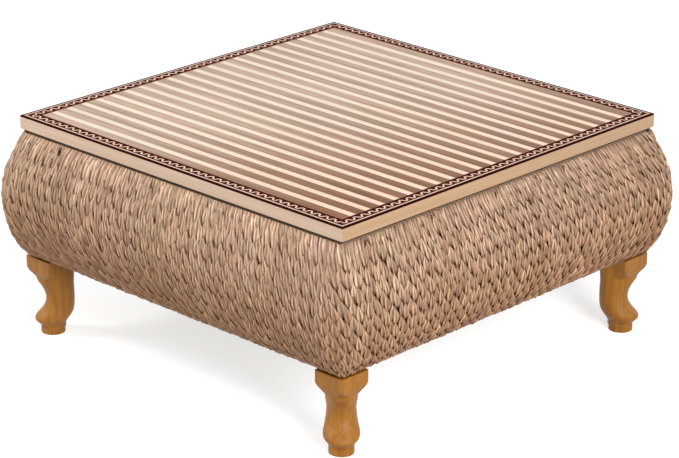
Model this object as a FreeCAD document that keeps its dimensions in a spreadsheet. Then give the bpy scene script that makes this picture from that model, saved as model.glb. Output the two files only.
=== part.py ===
import FreeCAD, Part

import os

import Sketcher

# Low square storage table: woven bulging body on four cabriole legs, with a
# hinged lid that carries a bamboo mat and a ribbon border.
# Frame: origin on the floor under the table's centre, +Z up, front at -Y,
# hinges at +Y. Lengths are in millimetres.

# Driving sizes
SIZES = {
    "top_side": 600.0,
    "fit_clearance": 0.5,
    "cut_overrun": 5.0,
    # legs
    "leg_height": 112.0,
    "leg_block_side": 48.0,
    "leg_block_inset": 0.2,
    "leg_block_height": 15.5,
    "leg_knee_height": 13.5,
    "leg_arris_radius": 2.0,
    "foot_pad_diameter": 33.0,
    "foot_pad_height": 9.0,
    # bolts that hold the legs
    "bolt_diameter": 8.0,
    "bolt_in_leg": 40.0,
    "bolt_in_rail": 20.0,
    "bolt_clearance": 0.05,
    "insert_diameter": 12.0,
    # base frame and storage box
    "base_rail_width": 40.0,
    "base_rail_thickness": 24.0,
    "floor_thickness": 9.0,
    "box_wall_thickness": 9.0,
    # woven skin, its ribs and its hoop
    "weave_height": 178.5,
    "weave_bulge": 36.0,
    "weave_wall": 7.0,
    "weave_edge_radius": 8.0,
    "weave_belly_radius": 50.0,
    "weave_rib_pitch": 29.0,
    "weave_rib_depth": 1.8,
    "rib_thickness": 12.0,
    "hoop_diameter": 6.0,
    # rim
    "rim_lip_thickness": 2.5,
    "rim_lip_inset": 3.5,
    "rim_rail_height": 19.5,
    "rim_rail_width": 22.0,
    # lid
    "lid_gap": 0.4,
    "lid_edge_height": 17.2,
    "lid_edge_width": 22.0,
    "lid_edge_chamfer": 1.0,
    "lid_panel_thickness": 15.0,
    # mat and its border
    "mat_backing_thickness": 0.4,
    "slat_thickness": 1.2,
    "slat_gap": 0.4,
    "light_slat_width": 9.6,
    "light_slat_count": 21,
    "ribbon_width": 21.6,
    "ribbon_thickness": 1.5,
    # hinges and their screws
    "hinge_inset": 130.0,
    "hinge_leaf_length": 60.0,
    "hinge_leaf_width": 20.0,
    "hinge_leaf_thickness": 1.2,
    "hinge_barrel_diameter": 6.0,
    "hinge_barrel_gap": 0.2,
    "hinge_pin_diameter": 3.0,
    "hinge_pin_clearance": 0.05,
    "hinge_pin_head": 1.0,
    "hinge_pin_head_diameter": 4.8,
    "knuckle_gap": 0.3,
    "screw_diameter": 3.0,
    "screw_head_diameter": 5.8,
    "screw_clearance": 0.05,
    "screw_length": 14.0,
    "screw_tip_length": 2.5,
    "screw_pitch": 22.0,
}

KNUCKLES_PER_HINGE = 5
SCREWS_PER_LEAF = 3
HINGES = 2
QUARTER_TURN = 90
SIDES = ("front", "right", "rear", "left")
CORNERS = ("front_right", "rear_right", "rear_left", "front_left")

# Woven skin from bottom edge to top edge: share of its height, share of its bulge
WEAVE_SECTION_SHARES = (
    (0.000, 0.00),
    (0.106, 0.45),
    (0.213, 0.72),
    (0.353, 0.93),
    (0.499, 1.00),
    (0.639, 0.91),
    (0.751, 0.73),
    (0.840, 0.49),
    (0.919, 0.25),
    (1.000, 0.00),
)
WEAVE_BELLY_SHARE = 0.499

# Leg shaft: share of the way from the pad's top to the knee's foot, then its
# outward shift, its depth on the diagonal and its width across, as shares of the block
LEG_SECTION_SHARES = (
    (0.000, -0.023, 0.708, 0.692),
    (0.075, 0.019, 0.800, 0.738),
    (0.160, 0.024, 0.960, 0.933),
    (0.284, -0.101, 0.958, 0.954),
    (0.405, -0.193, 0.869, 0.865),
    (0.541, -0.231, 0.813, 0.809),
    (0.665, -0.220, 0.835, 0.789),
    (0.811, -0.166, 0.927, 0.836),
    (0.938, -0.109, 1.056, 0.858),
)

# Leg back, where the shaft runs up behind the knee: share of the way from the
# knee's foot to the leg's top, then shift, depth and width as shares of the block
LEG_BACK_SHARES = (
    (0.11, -0.115, 1.060, 0.850),
    (0.50, -0.180, 0.945, 0.800),
    (1.00, -0.224, 0.865, 0.750),
)

# Leg knee below the block: share of the knee's height, share of the block's
# side, and the corner's radius as a share of the block's side
LEG_KNEE_SHARES = (
    (1.00, 1.000, 0.045),
    (0.60, 0.975, 0.120),
    (0.30, 0.930, 0.220),
    (0.00, 0.880, 0.300),
)

# Rib places along a side, as shares of the top's side from the middle
RIB_PLACE_SHARES = (-0.19, 0.19)


doc = FreeCAD.newDocument("woven_storage_table")
sheet = doc.addObject("Spreadsheet::Sheet", "Sizes")
for row, (alias, size) in enumerate(SIZES.items(), start=1):
    sheet.set(f"A{row}", alias)
    sheet.set(f"B{row}", str(size))
    sheet.setAlias(f"B{row}", alias)
doc.recompute()

nodes = []


# Formulas that several pieces share
def total(*terms):
    """Return one formula that adds the given formulas."""
    return "(" + " + ".join(f"({term})" for term in terms) + ")"


def less(first, *others):
    """Return one formula that takes the other formulas from the first."""
    return "(" + " - ".join(f"({term})" for term in (first,) + others) + ")"


def minus(term):
    """Return the formula with its sign turned."""
    return f"(-({term}))"


def half(term):
    """Return the formula of half the given one."""
    return f"(({term}) / 2)"


def part_of(term, share):
    """Return the formula of a share of the given one."""
    return f"(({term}) * {share})"


def number(formula):
    """Return what a formula of the sheet's sizes comes to."""
    return float(sheet.evalExpression(formula))


OUTER_HALF = half("Sizes.top_side")
FRAME_HALF = less(OUTER_HALF, "Sizes.weave_wall", "Sizes.fit_clearance")
BOX_HALF = less(FRAME_HALF, "Sizes.rim_rail_width")
BAY_HALF = less(BOX_HALF, "Sizes.box_wall_thickness")
BASE_INNER_HALF = less(FRAME_HALF, "Sizes.base_rail_width")
LEG_CENTRE = less(OUTER_HALF, "Sizes.leg_block_inset", half("Sizes.leg_block_side"))
LEG_TOP = "Sizes.leg_height"
BASE_TOP = total(LEG_TOP, "Sizes.base_rail_thickness")
FLOOR_TOP = total(BASE_TOP, "Sizes.floor_thickness")
WEAVE_TOP = total(LEG_TOP, "Sizes.weave_height")
RIM_BOTTOM = less(WEAVE_TOP, "Sizes.rim_rail_height")
RIM_TOP = total(WEAVE_TOP, "Sizes.rim_lip_thickness")
LID_BOTTOM = total(RIM_TOP, "Sizes.lid_gap")
LID_TOP = total(LID_BOTTOM, "Sizes.lid_edge_height")
MAT_BASE = total(LID_TOP, "Sizes.mat_backing_thickness")
LID_INNER_HALF = less(OUTER_HALF, "Sizes.lid_edge_width")
HINGE_Y = total(OUTER_HALF, half("Sizes.hinge_barrel_diameter"), "Sizes.hinge_barrel_gap")
HINGE_Z = total(RIM_TOP, half("Sizes.lid_gap"))
LEAF_EDGE_Y = less(OUTER_HALF, "Sizes.hinge_leaf_width")
SCREW_Y = less(OUTER_HALF, half("Sizes.hinge_leaf_width"))
HINGE_REACH = less(OUTER_HALF, "Sizes.hinge_inset")


# Helpers for sketches and features
def keep(item, label):
    """Name a finished sub-part and list it as a node."""
    item.Label = label
    nodes.append(item)
    return item


def turned(item, turn):
    """Turn a piece about the table's upright axis."""
    item.Placement = FreeCAD.Placement(
        FreeCAD.Vector(0, 0, 0), FreeCAD.Rotation(FreeCAD.Vector(0, 0, 1), turn)
    )
    return item


def new_body(name):
    """Add an empty body."""
    return doc.addObject("PartDesign::Body", name)


def new_sketch(body, name, role, offset=None):
    """Add a sketch on one of the body's own origin planes, at a formula's distance."""
    sketch = body.newObject("Sketcher::SketchObject", name)
    plane = next(item for item in body.Origin.OriginFeatures if item.Role == role)
    sketch.AttachmentSupport = [(plane, "")]
    sketch.MapMode = "FlatFace"
    if offset is not None:
        sketch.setExpression("AttachmentOffset.Base.z", offset)
    return sketch


def bind(sketch, constraint, formula):
    """Add a dimension to a sketch and bind it to a formula."""
    index = sketch.addConstraint(constraint)
    sketch.setExpression(f"Constraints[{index}]", formula)


def fix_point(sketch, geometry, point, across, along):
    """Hold a sketch point at the place that two formulas give."""
    if across == "0":
        sketch.addConstraint(Sketcher.Constraint("PointOnObject", geometry, point, -2))
    else:
        bind(sketch, Sketcher.Constraint("DistanceX", -1, 1, geometry, point, number(across)), across)
    if along == "0":
        sketch.addConstraint(Sketcher.Constraint("PointOnObject", geometry, point, -1))
    else:
        bind(sketch, Sketcher.Constraint("DistanceY", -1, 1, geometry, point, number(along)), along)


def draw_outline(sketch, corners):
    """Draw a closed outline of straight lines through corners given as formulas."""
    places = [FreeCAD.Vector(number(across), number(along), 0) for across, along in corners]
    first = sketch.GeometryCount
    count = len(places)
    for step in range(count):
        sketch.addGeometry(Part.LineSegment(places[step], places[(step + 1) % count]))
    for step in range(count):
        following = first + (step + 1) % count
        sketch.addConstraint(Sketcher.Constraint("Coincident", first + step, 2, following, 1))
    for step, (across, along) in enumerate(corners):
        fix_point(sketch, first + step, 1, across, along)


def draw_box(sketch, left, right, low, high):
    """Draw a rectangle between four formulas."""
    draw_outline(sketch, ((left, low), (right, low), (right, high), (left, high)))


def draw_circle(sketch, across, along, diameter):
    """Draw a circle whose centre and diameter are formulas."""
    centre = FreeCAD.Vector(number(across), number(along), 0)
    circle = sketch.addGeometry(Part.Circle(centre, FreeCAD.Vector(0, 0, 1), number(diameter) / 2))
    fix_point(sketch, circle, 3, across, along)
    bind(sketch, Sketcher.Constraint("Diameter", circle, number(diameter)), diameter)


def draw_ellipse(sketch, shift, depth, width):
    """Draw an ellipse with its long axis on the sketch's X axis, from formulas."""
    centre = FreeCAD.Vector(number(shift), 0, 0)
    ellipse = sketch.addGeometry(Part.Ellipse(centre, number(depth) / 2, number(width) / 2))
    sketch.exposeInternalGeometry(ellipse)
    long_axis = ellipse + 1
    short_axis = ellipse + 2
    sketch.addConstraint(Sketcher.Constraint("Horizontal", long_axis))
    fix_point(sketch, ellipse, 3, shift, "0")
    bind(sketch, Sketcher.Constraint("Distance", long_axis, number(depth)), depth)
    bind(sketch, Sketcher.Constraint("Distance", short_axis, number(width)), width)


def draw_rounded_square(sketch, reach, radius):
    """Draw a centred square with rounded corners, from its half side and radius."""
    side = number(reach)
    bend = number(radius)
    flat = side - bend
    starts = ((-flat, -side), (side, -flat), (flat, side), (-side, flat))
    ends = ((flat, -side), (side, flat), (-flat, side), (-side, -flat))
    centres = ((flat, -flat), (flat, flat), (-flat, flat), (-flat, -flat))
    first = sketch.GeometryCount
    for start, end, centre, turn in zip(starts, ends, centres, (-1, 0, 1, 2)):
        sketch.addGeometry(Part.LineSegment(FreeCAD.Vector(*start, 0), FreeCAD.Vector(*end, 0)))
        circle = Part.Circle(FreeCAD.Vector(*centre, 0), FreeCAD.Vector(0, 0, 1), bend)
        start_angle = FreeCAD.Units.Quantity(turn * QUARTER_TURN, "deg").getValueAs("rad").Value
        end_angle = FreeCAD.Units.Quantity((turn + 1) * QUARTER_TURN, "deg").getValueAs("rad").Value
        sketch.addGeometry(Part.ArcOfCircle(circle, start_angle, end_angle))
    lines = [first + 2 * step for step in range(4)]
    for step, line in enumerate(lines):
        arc = line + 1
        following = lines[(step + 1) % 4]
        sketch.addConstraint(Sketcher.Constraint("Tangent", line, 2, arc, 1))
        sketch.addConstraint(Sketcher.Constraint("Tangent", arc, 2, following, 1))
        sketch.addConstraint(Sketcher.Constraint("Horizontal" if step % 2 == 0 else "Vertical", line))
        if step > 0:
            sketch.addConstraint(Sketcher.Constraint("Equal", first + 1, arc))
    faces = (("DistanceY", -1), ("DistanceX", 1), ("DistanceY", 1), ("DistanceX", -1))
    for step, (kind, sign) in enumerate(faces):
        formula = reach if sign > 0 else minus(reach)
        bind(sketch, Sketcher.Constraint(kind, -1, 1, lines[step], 1, sign * side), formula)
    bind(sketch, Sketcher.Constraint("Radius", first + 1, bend), radius)


def pad(body, name, sketch, length, symmetric=False):
    """Raise a sketch by a formula's length."""
    feature = body.newObject("PartDesign::Pad", name)
    feature.Profile = sketch
    feature.SideType = "Symmetric" if symmetric else "One side"
    feature.setExpression("Length", length)
    doc.recompute()
    return feature


def pocket(body, name, sketch, length=None, upwards=False):
    """Cut a sketch into the body, a formula deep, or both ways right through."""
    before = body.Shape.Volume
    feature = body.newObject("PartDesign::Pocket", name)
    feature.Profile = sketch
    if length is None:
        feature.SideType = "Symmetric"
        feature.Type = "ThroughAll"
    else:
        feature.Reversed = upwards
        feature.setExpression("Length", length)
    doc.recompute()
    if body.Shape.Volume >= before:
        raise RuntimeError(f"{body.Name}: {name} cuts nothing")
    return feature


def loft(body, name, sections, subtractive=False):
    """Join sketches by one smooth skin, as material or as a cut."""
    kind = "SubtractiveLoft" if subtractive else "AdditiveLoft"
    feature = body.newObject(f"PartDesign::{kind}", name)
    feature.Profile = sections[0]
    feature.Sections = sections[1:]
    doc.recompute()
    return feature


def row_pattern(body, name, original, axis_role, length, count):
    """Repeat a feature in a row along one of the body's axes."""
    axis = next(item for item in body.Origin.OriginFeatures if item.Role == axis_role)
    feature = body.newObject("PartDesign::LinearPattern", name)
    feature.Originals = [original]
    feature.Direction = (axis, [""])
    feature.Mode = "Extent"
    feature.setExpression("Length", length)
    feature.setExpression("Occurrences", count)
    body.Tip = feature
    doc.recompute()
    return feature


def box_body(name, x_span, y_span, z_span):
    """Make a body that is one board, from the formulas of its three spans."""
    body = new_body(name)
    sketch = new_sketch(body, f"{name}_plan", "XY_Plane", z_span[0])
    draw_box(sketch, x_span[0], x_span[1], y_span[0], y_span[1])
    pad(body, f"{name}_pad", sketch, less(z_span[1], z_span[0]))
    return body


def mitred_body(name, profile, reach, width):
    """Make a moulding along the front side from its profile, with mitred ends."""
    body = new_body(name)
    section = new_sketch(body, f"{name}_profile", "YZ_Plane")
    draw_outline(section, profile)
    pad(body, f"{name}_length", section, total(reach, reach), symmetric=True)
    ends = new_sketch(body, f"{name}_mitres", "XY_Plane")
    inner = less(reach, width, "Sizes.cut_overrun")
    outer = total(reach, "Sizes.cut_overrun")
    draw_outline(ends, ((inner, minus(inner)), (outer, minus(outer)), (outer, minus(inner))))
    draw_outline(
        ends,
        ((minus(inner), minus(inner)), (minus(outer), minus(outer)), (minus(outer), minus(inner))),
    )
    pocket(body, f"{name}_mitre_cuts", ends)
    return body


# Legs: square block, knee, curved shaft and round pad, with a bolt hole in the top
def make_leg(corner, turn, x_sign, y_sign):
    """Make one cabriole leg, shaped along its own +X and turned to its corner."""
    name = f"leg_{corner}"
    body = new_body(name)
    block_bottom = less(LEG_TOP, "Sizes.leg_block_height")
    knee_bottom = less(block_bottom, "Sizes.leg_knee_height")
    block = new_sketch(body, f"{name}_block", "XY_Plane", block_bottom)
    draw_rounded_square(block, half("Sizes.leg_block_side"), "Sizes.leg_arris_radius")
    block.setExpression("AttachmentOffset.Rotation.Angle", str(QUARTER_TURN / 2))
    pad(body, f"{name}_block_pad", block, "Sizes.leg_block_height")
    knee = []
    for step, (height, side, radius) in enumerate(LEG_KNEE_SHARES):
        level = total(knee_bottom, part_of("Sizes.leg_knee_height", height))
        section = new_sketch(body, f"{name}_knee_{step}", "XY_Plane", level)
        draw_rounded_square(
            section,
            part_of(half("Sizes.leg_block_side"), side),
            part_of("Sizes.leg_block_side", radius),
        )
        section.setExpression("AttachmentOffset.Rotation.Angle", str(QUARTER_TURN / 2))
        # the knee is carved back from its outer corner, by half of what its side loses
        drawn_in = f"(Sizes.leg_block_side * ({side} - 1) / (2 * sqrt(2)))"
        section.setExpression("AttachmentOffset.Base.x", drawn_in)
        knee.append(section)
    loft(body, f"{name}_knee", knee)
    shaft = []
    stretches = (
        ("Sizes.foot_pad_height", knee_bottom, LEG_SECTION_SHARES),
        (knee_bottom, LEG_TOP, LEG_BACK_SHARES),
    )
    places = [(low, high, row) for low, high, rows in stretches for row in rows]
    for step, (low, high, (height, shift, depth, width)) in enumerate(places):
        level = total(low, part_of(less(high, low), height))
        section = new_sketch(body, f"{name}_shaft_{step}", "XY_Plane", level)
        draw_ellipse(
            section,
            part_of("Sizes.leg_block_side", shift),
            part_of("Sizes.leg_block_side", depth),
            part_of("Sizes.leg_block_side", width),
        )
        shaft.append(section)
    loft(body, f"{name}_shaft", shaft)
    foot = new_sketch(body, f"{name}_foot", "XY_Plane")
    draw_circle(foot, "0", "0", "Sizes.foot_pad_diameter")
    pad(body, f"{name}_foot_pad", foot, "Sizes.foot_pad_height")
    hole = new_sketch(body, f"{name}_hole", "XY_Plane", LEG_TOP)
    draw_circle(hole, "0", "0", total("Sizes.bolt_diameter", "Sizes.bolt_clearance", "Sizes.bolt_clearance"))
    pocket(body, f"{name}_bolt_hole", hole, "Sizes.bolt_in_leg")
    turned(body, turn)
    body.setExpression("Placement.Base.x", part_of(LEG_CENTRE, x_sign))
    body.setExpression("Placement.Base.y", part_of(LEG_CENTRE, y_sign))
    keep(body, name)


def make_legs():
    """Make the four legs, each pointing out along its diagonal."""
    signs = ((1, -1), (1, 1), (-1, 1), (-1, -1))
    for step, (corner, (x_sign, y_sign)) in enumerate(zip(CORNERS, signs)):
        make_leg(corner, (step - 0.5) * QUARTER_TURN, x_sign, y_sign)


def make_leg_fixings():
    """Make the four bolts in the legs' tops and the threaded inserts they run into."""
    bolt = new_body("hanger_bolts")
    shank = new_sketch(bolt, "hanger_bolt_section", "XY_Plane", less(LEG_TOP, "Sizes.bolt_in_leg"))
    insert = new_body("thread_inserts")
    ring = new_sketch(insert, "thread_insert_section", "XY_Plane", LEG_TOP)
    for x_sign in (-1, 1):
        for y_sign in (-1, 1):
            across = part_of(LEG_CENTRE, x_sign)
            along = part_of(LEG_CENTRE, y_sign)
            draw_circle(shank, across, along, "Sizes.bolt_diameter")
            draw_circle(ring, across, along, "Sizes.insert_diameter")
            draw_circle(
                ring,
                across,
                along,
                total("Sizes.bolt_diameter", "Sizes.bolt_clearance", "Sizes.bolt_clearance"),
            )
    pad(bolt, "hanger_bolt_shanks", shank, total("Sizes.bolt_in_leg", "Sizes.bolt_in_rail"))
    pad(insert, "thread_insert_rings", ring, "Sizes.bolt_in_rail")
    keep(bolt, "hanger_bolts")
    keep(insert, "thread_inserts")


# Base frame and storage box
def make_base_rails():
    """Make the flat base frame: long front and rear rails, short side rails between."""
    for side, turn in (("front", 0), ("rear", 2 * QUARTER_TURN)):
        body = box_body(
            f"base_rail_{side}",
            (minus(FRAME_HALF), FRAME_HALF),
            (minus(FRAME_HALF), minus(BASE_INNER_HALF)),
            (LEG_TOP, BASE_TOP),
        )
        seats = new_sketch(body, f"base_rail_{side}_seats", "XY_Plane", LEG_TOP)
        for x_sign in (-1, 1):
            draw_circle(
                seats,
                part_of(LEG_CENTRE, x_sign),
                minus(LEG_CENTRE),
                total("Sizes.insert_diameter", "Sizes.bolt_clearance", "Sizes.bolt_clearance"),
            )
        pocket(body, f"base_rail_{side}_insert_seats", seats, "Sizes.bolt_in_rail", upwards=True)
        keep(turned(body, turn), f"base_rail_{side}")
    for side, turn in (("right", QUARTER_TURN), ("left", 3 * QUARTER_TURN)):
        body = box_body(
            f"base_rail_{side}",
            (minus(BASE_INNER_HALF), BASE_INNER_HALF),
            (minus(FRAME_HALF), minus(BASE_INNER_HALF)),
            (LEG_TOP, BASE_TOP),
        )
        keep(turned(body, turn), f"base_rail_{side}")


def make_box():
    """Make the storage box: a floor on the base frame and four walls up to the rim."""
    floor = box_body(
        "box_floor",
        (minus(FRAME_HALF), FRAME_HALF),
        (minus(FRAME_HALF), FRAME_HALF),
        (BASE_TOP, FLOOR_TOP),
    )
    keep(floor, "box_floor")
    for step, side in enumerate(SIDES):
        reach = BOX_HALF if step % 2 == 0 else BAY_HALF
        wall = box_body(
            f"box_wall_{side}",
            (minus(reach), reach),
            (minus(BOX_HALF), minus(BAY_HALF)),
            (FLOOR_TOP, WEAVE_TOP),
        )
        keep(turned(wall, step * QUARTER_TURN), f"box_wall_{side}")


def hinge_places():
    """Return the formulas of the two hinges' places along the rear side."""
    return (minus(HINGE_REACH), HINGE_REACH)


def cut_hinge_seats(body, name, level, depth, upwards):
    """Cut two leaf recesses and their screw holes in a moulding on the rear side."""
    recess = new_sketch(body, f"{name}_recess", "XY_Plane", level)
    holes = new_sketch(body, f"{name}_screw_places", "XY_Plane", level)
    reach = half("Sizes.hinge_leaf_length")
    for place in hinge_places():
        draw_box(
            recess,
            less(place, reach, "Sizes.fit_clearance"),
            total(place, reach, "Sizes.fit_clearance"),
            minus(total(OUTER_HALF, "Sizes.cut_overrun")),
            minus(less(LEAF_EDGE_Y, "Sizes.fit_clearance")),
        )
        for step in range(SCREWS_PER_LEAF):
            shift = part_of("Sizes.screw_pitch", step - (SCREWS_PER_LEAF - 1) / 2)
            draw_circle(holes, total(place, shift), minus(SCREW_Y), "Sizes.screw_diameter")
    pocket(body, f"{name}_recesses", recess, depth, upwards)
    pocket(body, f"{name}_screw_holes", holes, "Sizes.screw_length", upwards)


# Rim: rail with a thin lip over the weave's top edge
def make_rim():
    """Make the four mitred rim rails, the rear one with its hinge seats."""
    lip_edge = less(OUTER_HALF, "Sizes.rim_lip_inset")
    profile = (
        (minus(lip_edge), WEAVE_TOP),
        (minus(FRAME_HALF), WEAVE_TOP),
        (minus(FRAME_HALF), RIM_BOTTOM),
        (minus(BOX_HALF), RIM_BOTTOM),
        (minus(BOX_HALF), WEAVE_TOP),
        (minus(BAY_HALF), WEAVE_TOP),
        (minus(BAY_HALF), RIM_TOP),
        (minus(lip_edge), RIM_TOP),
    )
    for step, side in enumerate(SIDES):
        name = f"rim_rail_{side}"
        body = mitred_body(name, profile, lip_edge, less(lip_edge, BAY_HALF))
        if side == "rear":
            cut_hinge_seats(body, name, RIM_TOP, "Sizes.hinge_leaf_thickness", upwards=False)
        keep(turned(body, step * QUARTER_TURN), name)


# Woven skin, with the ribs and the hoop that carry its bulge
def weave_levels(inset):
    """Return the formulas of each level: its height, half side and corner radius."""
    levels = []
    for height, bulge in WEAVE_SECTION_SHARES:
        swell = less("Sizes.weave_belly_radius", "Sizes.weave_edge_radius")
        levels.append((
            total(LEG_TOP, part_of("Sizes.weave_height", height)),
            less(total(OUTER_HALF, part_of("Sizes.weave_bulge", bulge)), inset),
            less(total("Sizes.weave_edge_radius", part_of(swell, bulge)), inset),
        ))
    return levels


def weave_sections(body, name, inset):
    """Draw the weave's plan at each level, drawn in by a formula's inset."""
    sections = []
    for step, (level, reach, radius) in enumerate(weave_levels(inset)):
        sketch = new_sketch(body, f"{name}_{step}", "XY_Plane", level)
        draw_rounded_square(sketch, reach, radius)
        sections.append(sketch)
    return sections


def rounded_square_wire(level, reach, radius):
    """Return a rounded square's wire, which starts in the middle of the front side."""
    flat = reach - radius
    upright = FreeCAD.Vector(0, 0, 1)
    quarter = (
        Part.makeLine(FreeCAD.Vector(0, -reach, level), FreeCAD.Vector(flat, -reach, level)),
        Part.makeCircle(radius, FreeCAD.Vector(flat, -flat, level), upright, -QUARTER_TURN, 0),
        Part.makeLine(FreeCAD.Vector(reach, -flat, level), FreeCAD.Vector(reach, 0, level)),
    )
    edges = []
    for turn in range(len(SIDES)):
        for edge in quarter:
            edges.append(edge.rotated(FreeCAD.Vector(0, 0, 0), upright, turn * QUARTER_TURN))
    return Part.Wire(edges)


def ribbed_ring(level, reach, radius, ribs):
    """Return a closed wire of one shallow arc for each rib, with the crests on the outline."""
    depth = number("Sizes.weave_rib_depth")
    crests = rounded_square_wire(level, reach, radius).discretize(Number=2 * ribs + 1)
    valleys = rounded_square_wire(level, reach - depth, radius - depth).discretize(Number=2 * ribs + 1)
    valleys.pop()
    arcs = []
    for place in range(0, 2 * ribs, 2):
        arcs.append(Part.Arc(valleys[place - 1], crests[place], valleys[place + 1]).toShape())
    return Part.Wire(arcs)


def belly_level():
    """Return the formula of the height where the weave is widest."""
    return total(LEG_TOP, part_of("Sizes.weave_height", WEAVE_BELLY_SHARE))


def make_weave():
    """Make the woven skin, an open ring that swells between its two edges.

    Its outer face has one upright rib for each bundle of strands, and each
    corner has a rib on it, so every side holds a whole number of them.
    """
    levels = [tuple(number(formula) for formula in level) for level in weave_levels("0")]
    widest = max(levels, key=lambda level: level[1])
    corners = 2 * len(CORNERS)
    ribs = corners * round(rounded_square_wire(*widest).Length / corners / number("Sizes.weave_rib_pitch"))
    outside = doc.addObject("Part::Feature", "weave_outside")
    outside.Shape = Part.makeLoft([ribbed_ring(*level, ribs) for level in levels], True, False)
    inside = new_body("weave_inside")
    loft(inside, "weave_inside_loft", weave_sections(inside, "weave_inner", "Sizes.weave_wall"))
    shell = doc.addObject("Part::Cut", "weave_ring")
    shell.Base = outside
    shell.Tool = inside
    doc.recompute()
    keep(shell, "woven_shell")


def make_hoop():
    """Make the round hoop that runs inside the weave at its widest level."""
    body = new_body("waist_hoop")
    inset = total("Sizes.weave_wall", "Sizes.fit_clearance", half("Sizes.hoop_diameter"))
    reach = less(total(OUTER_HALF, "Sizes.weave_bulge"), inset)
    path = new_sketch(body, "waist_hoop_path", "XY_Plane", belly_level())
    draw_rounded_square(path, reach, less("Sizes.weave_belly_radius", inset))
    section = new_sketch(body, "waist_hoop_section", "YZ_Plane")
    draw_circle(section, minus(reach), belly_level(), "Sizes.hoop_diameter")
    pipe = body.newObject("PartDesign::AdditivePipe", "waist_hoop_pipe")
    pipe.Profile = section
    pipe.Spine = path
    doc.recompute()
    keep(body, "waist_hoop")


def make_rib_envelope():
    """Make the space that ribs fill: inside of the weave, less the hoop's groove."""
    inside = new_body("rib_space")
    inset = total("Sizes.weave_wall", half("Sizes.fit_clearance"))
    loft(inside, "rib_space_loft", weave_sections(inside, "rib_space_section", inset))
    groove = new_body("hoop_groove")
    lift = total(half("Sizes.hoop_diameter"), "Sizes.fit_clearance")
    plan = new_sketch(groove, "hoop_groove_plan", "XY_Plane", less(belly_level(), lift))
    depth = total("Sizes.weave_wall", "Sizes.hoop_diameter", "Sizes.fit_clearance", "Sizes.fit_clearance")
    widest = total(OUTER_HALF, "Sizes.weave_bulge")
    draw_rounded_square(plan, widest, "Sizes.weave_belly_radius")
    draw_rounded_square(plan, less(widest, depth), less("Sizes.weave_belly_radius", depth))
    pad(groove, "hoop_groove_pad", plan, total(lift, lift))
    envelope = doc.addObject("Part::Cut", "rib_envelope")
    envelope.Base = inside
    envelope.Tool = groove
    doc.recompute()
    return envelope


def make_rib(name, envelope, blank, turn):
    """Trim one board to the envelope and turn it to its side."""
    rib = doc.addObject("Part::Common", name)
    rib.Base = blank
    rib.Tool = envelope
    doc.recompute()
    keep(turned(rib, turn), name)


def make_ribs(envelope):
    """Make the upright ribs: two on each side and one on each diagonal."""
    widest = total(OUTER_HALF, "Sizes.weave_bulge")
    reach = half("Sizes.rib_thickness")
    for step, side in enumerate(SIDES):
        for order, share in enumerate(RIB_PLACE_SHARES, start=1):
            middle = part_of("Sizes.top_side", share)
            blank = box_body(
                f"rib_blank_{side}_{order}",
                (less(middle, reach), total(middle, reach)),
                (minus(widest), minus(BOX_HALF)),
                (FLOOR_TOP, RIM_BOTTOM),
            )
            make_rib(f"rib_{side}_{order}", envelope, blank, step * QUARTER_TURN)
    inner = f"({BOX_HALF} * sqrt(2))"
    outer = f"({widest} * sqrt(2))"
    for step, corner in enumerate(CORNERS):
        blank = box_body(
            f"rib_blank_{corner}",
            (total(inner, half("Sizes.fit_clearance")), outer),
            (minus(reach), reach),
            (FLOOR_TOP, RIM_BOTTOM),
        )
        turned(blank, -0.5 * QUARTER_TURN)
        make_rib(f"corner_rib_{corner}", envelope, blank, step * QUARTER_TURN)


# Lid: edge mouldings round a board, mat and ribbon on top
def make_lid_board():
    """Make the lid's board and its four mitred edge mouldings."""
    panel = box_body(
        "lid_panel",
        (minus(LID_INNER_HALF), LID_INNER_HALF),
        (minus(LID_INNER_HALF), LID_INNER_HALF),
        (less(LID_TOP, "Sizes.lid_panel_thickness"), LID_TOP),
    )
    keep(panel, "lid_panel")
    profile = (
        (minus(OUTER_HALF), total(LID_BOTTOM, "Sizes.lid_edge_chamfer")),
        (minus(less(OUTER_HALF, "Sizes.lid_edge_chamfer")), LID_BOTTOM),
        (minus(LID_INNER_HALF), LID_BOTTOM),
        (minus(LID_INNER_HALF), LID_TOP),
        (minus(OUTER_HALF), LID_TOP),
    )
    for step, side in enumerate(SIDES):
        name = f"lid_edge_{side}"
        body = mitred_body(name, profile, OUTER_HALF, "Sizes.lid_edge_width")
        if side == "rear":
            cut_hinge_seats(body, name, LID_BOTTOM, "Sizes.hinge_leaf_thickness", upwards=True)
        keep(turned(body, step * QUARTER_TURN), name)


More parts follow.
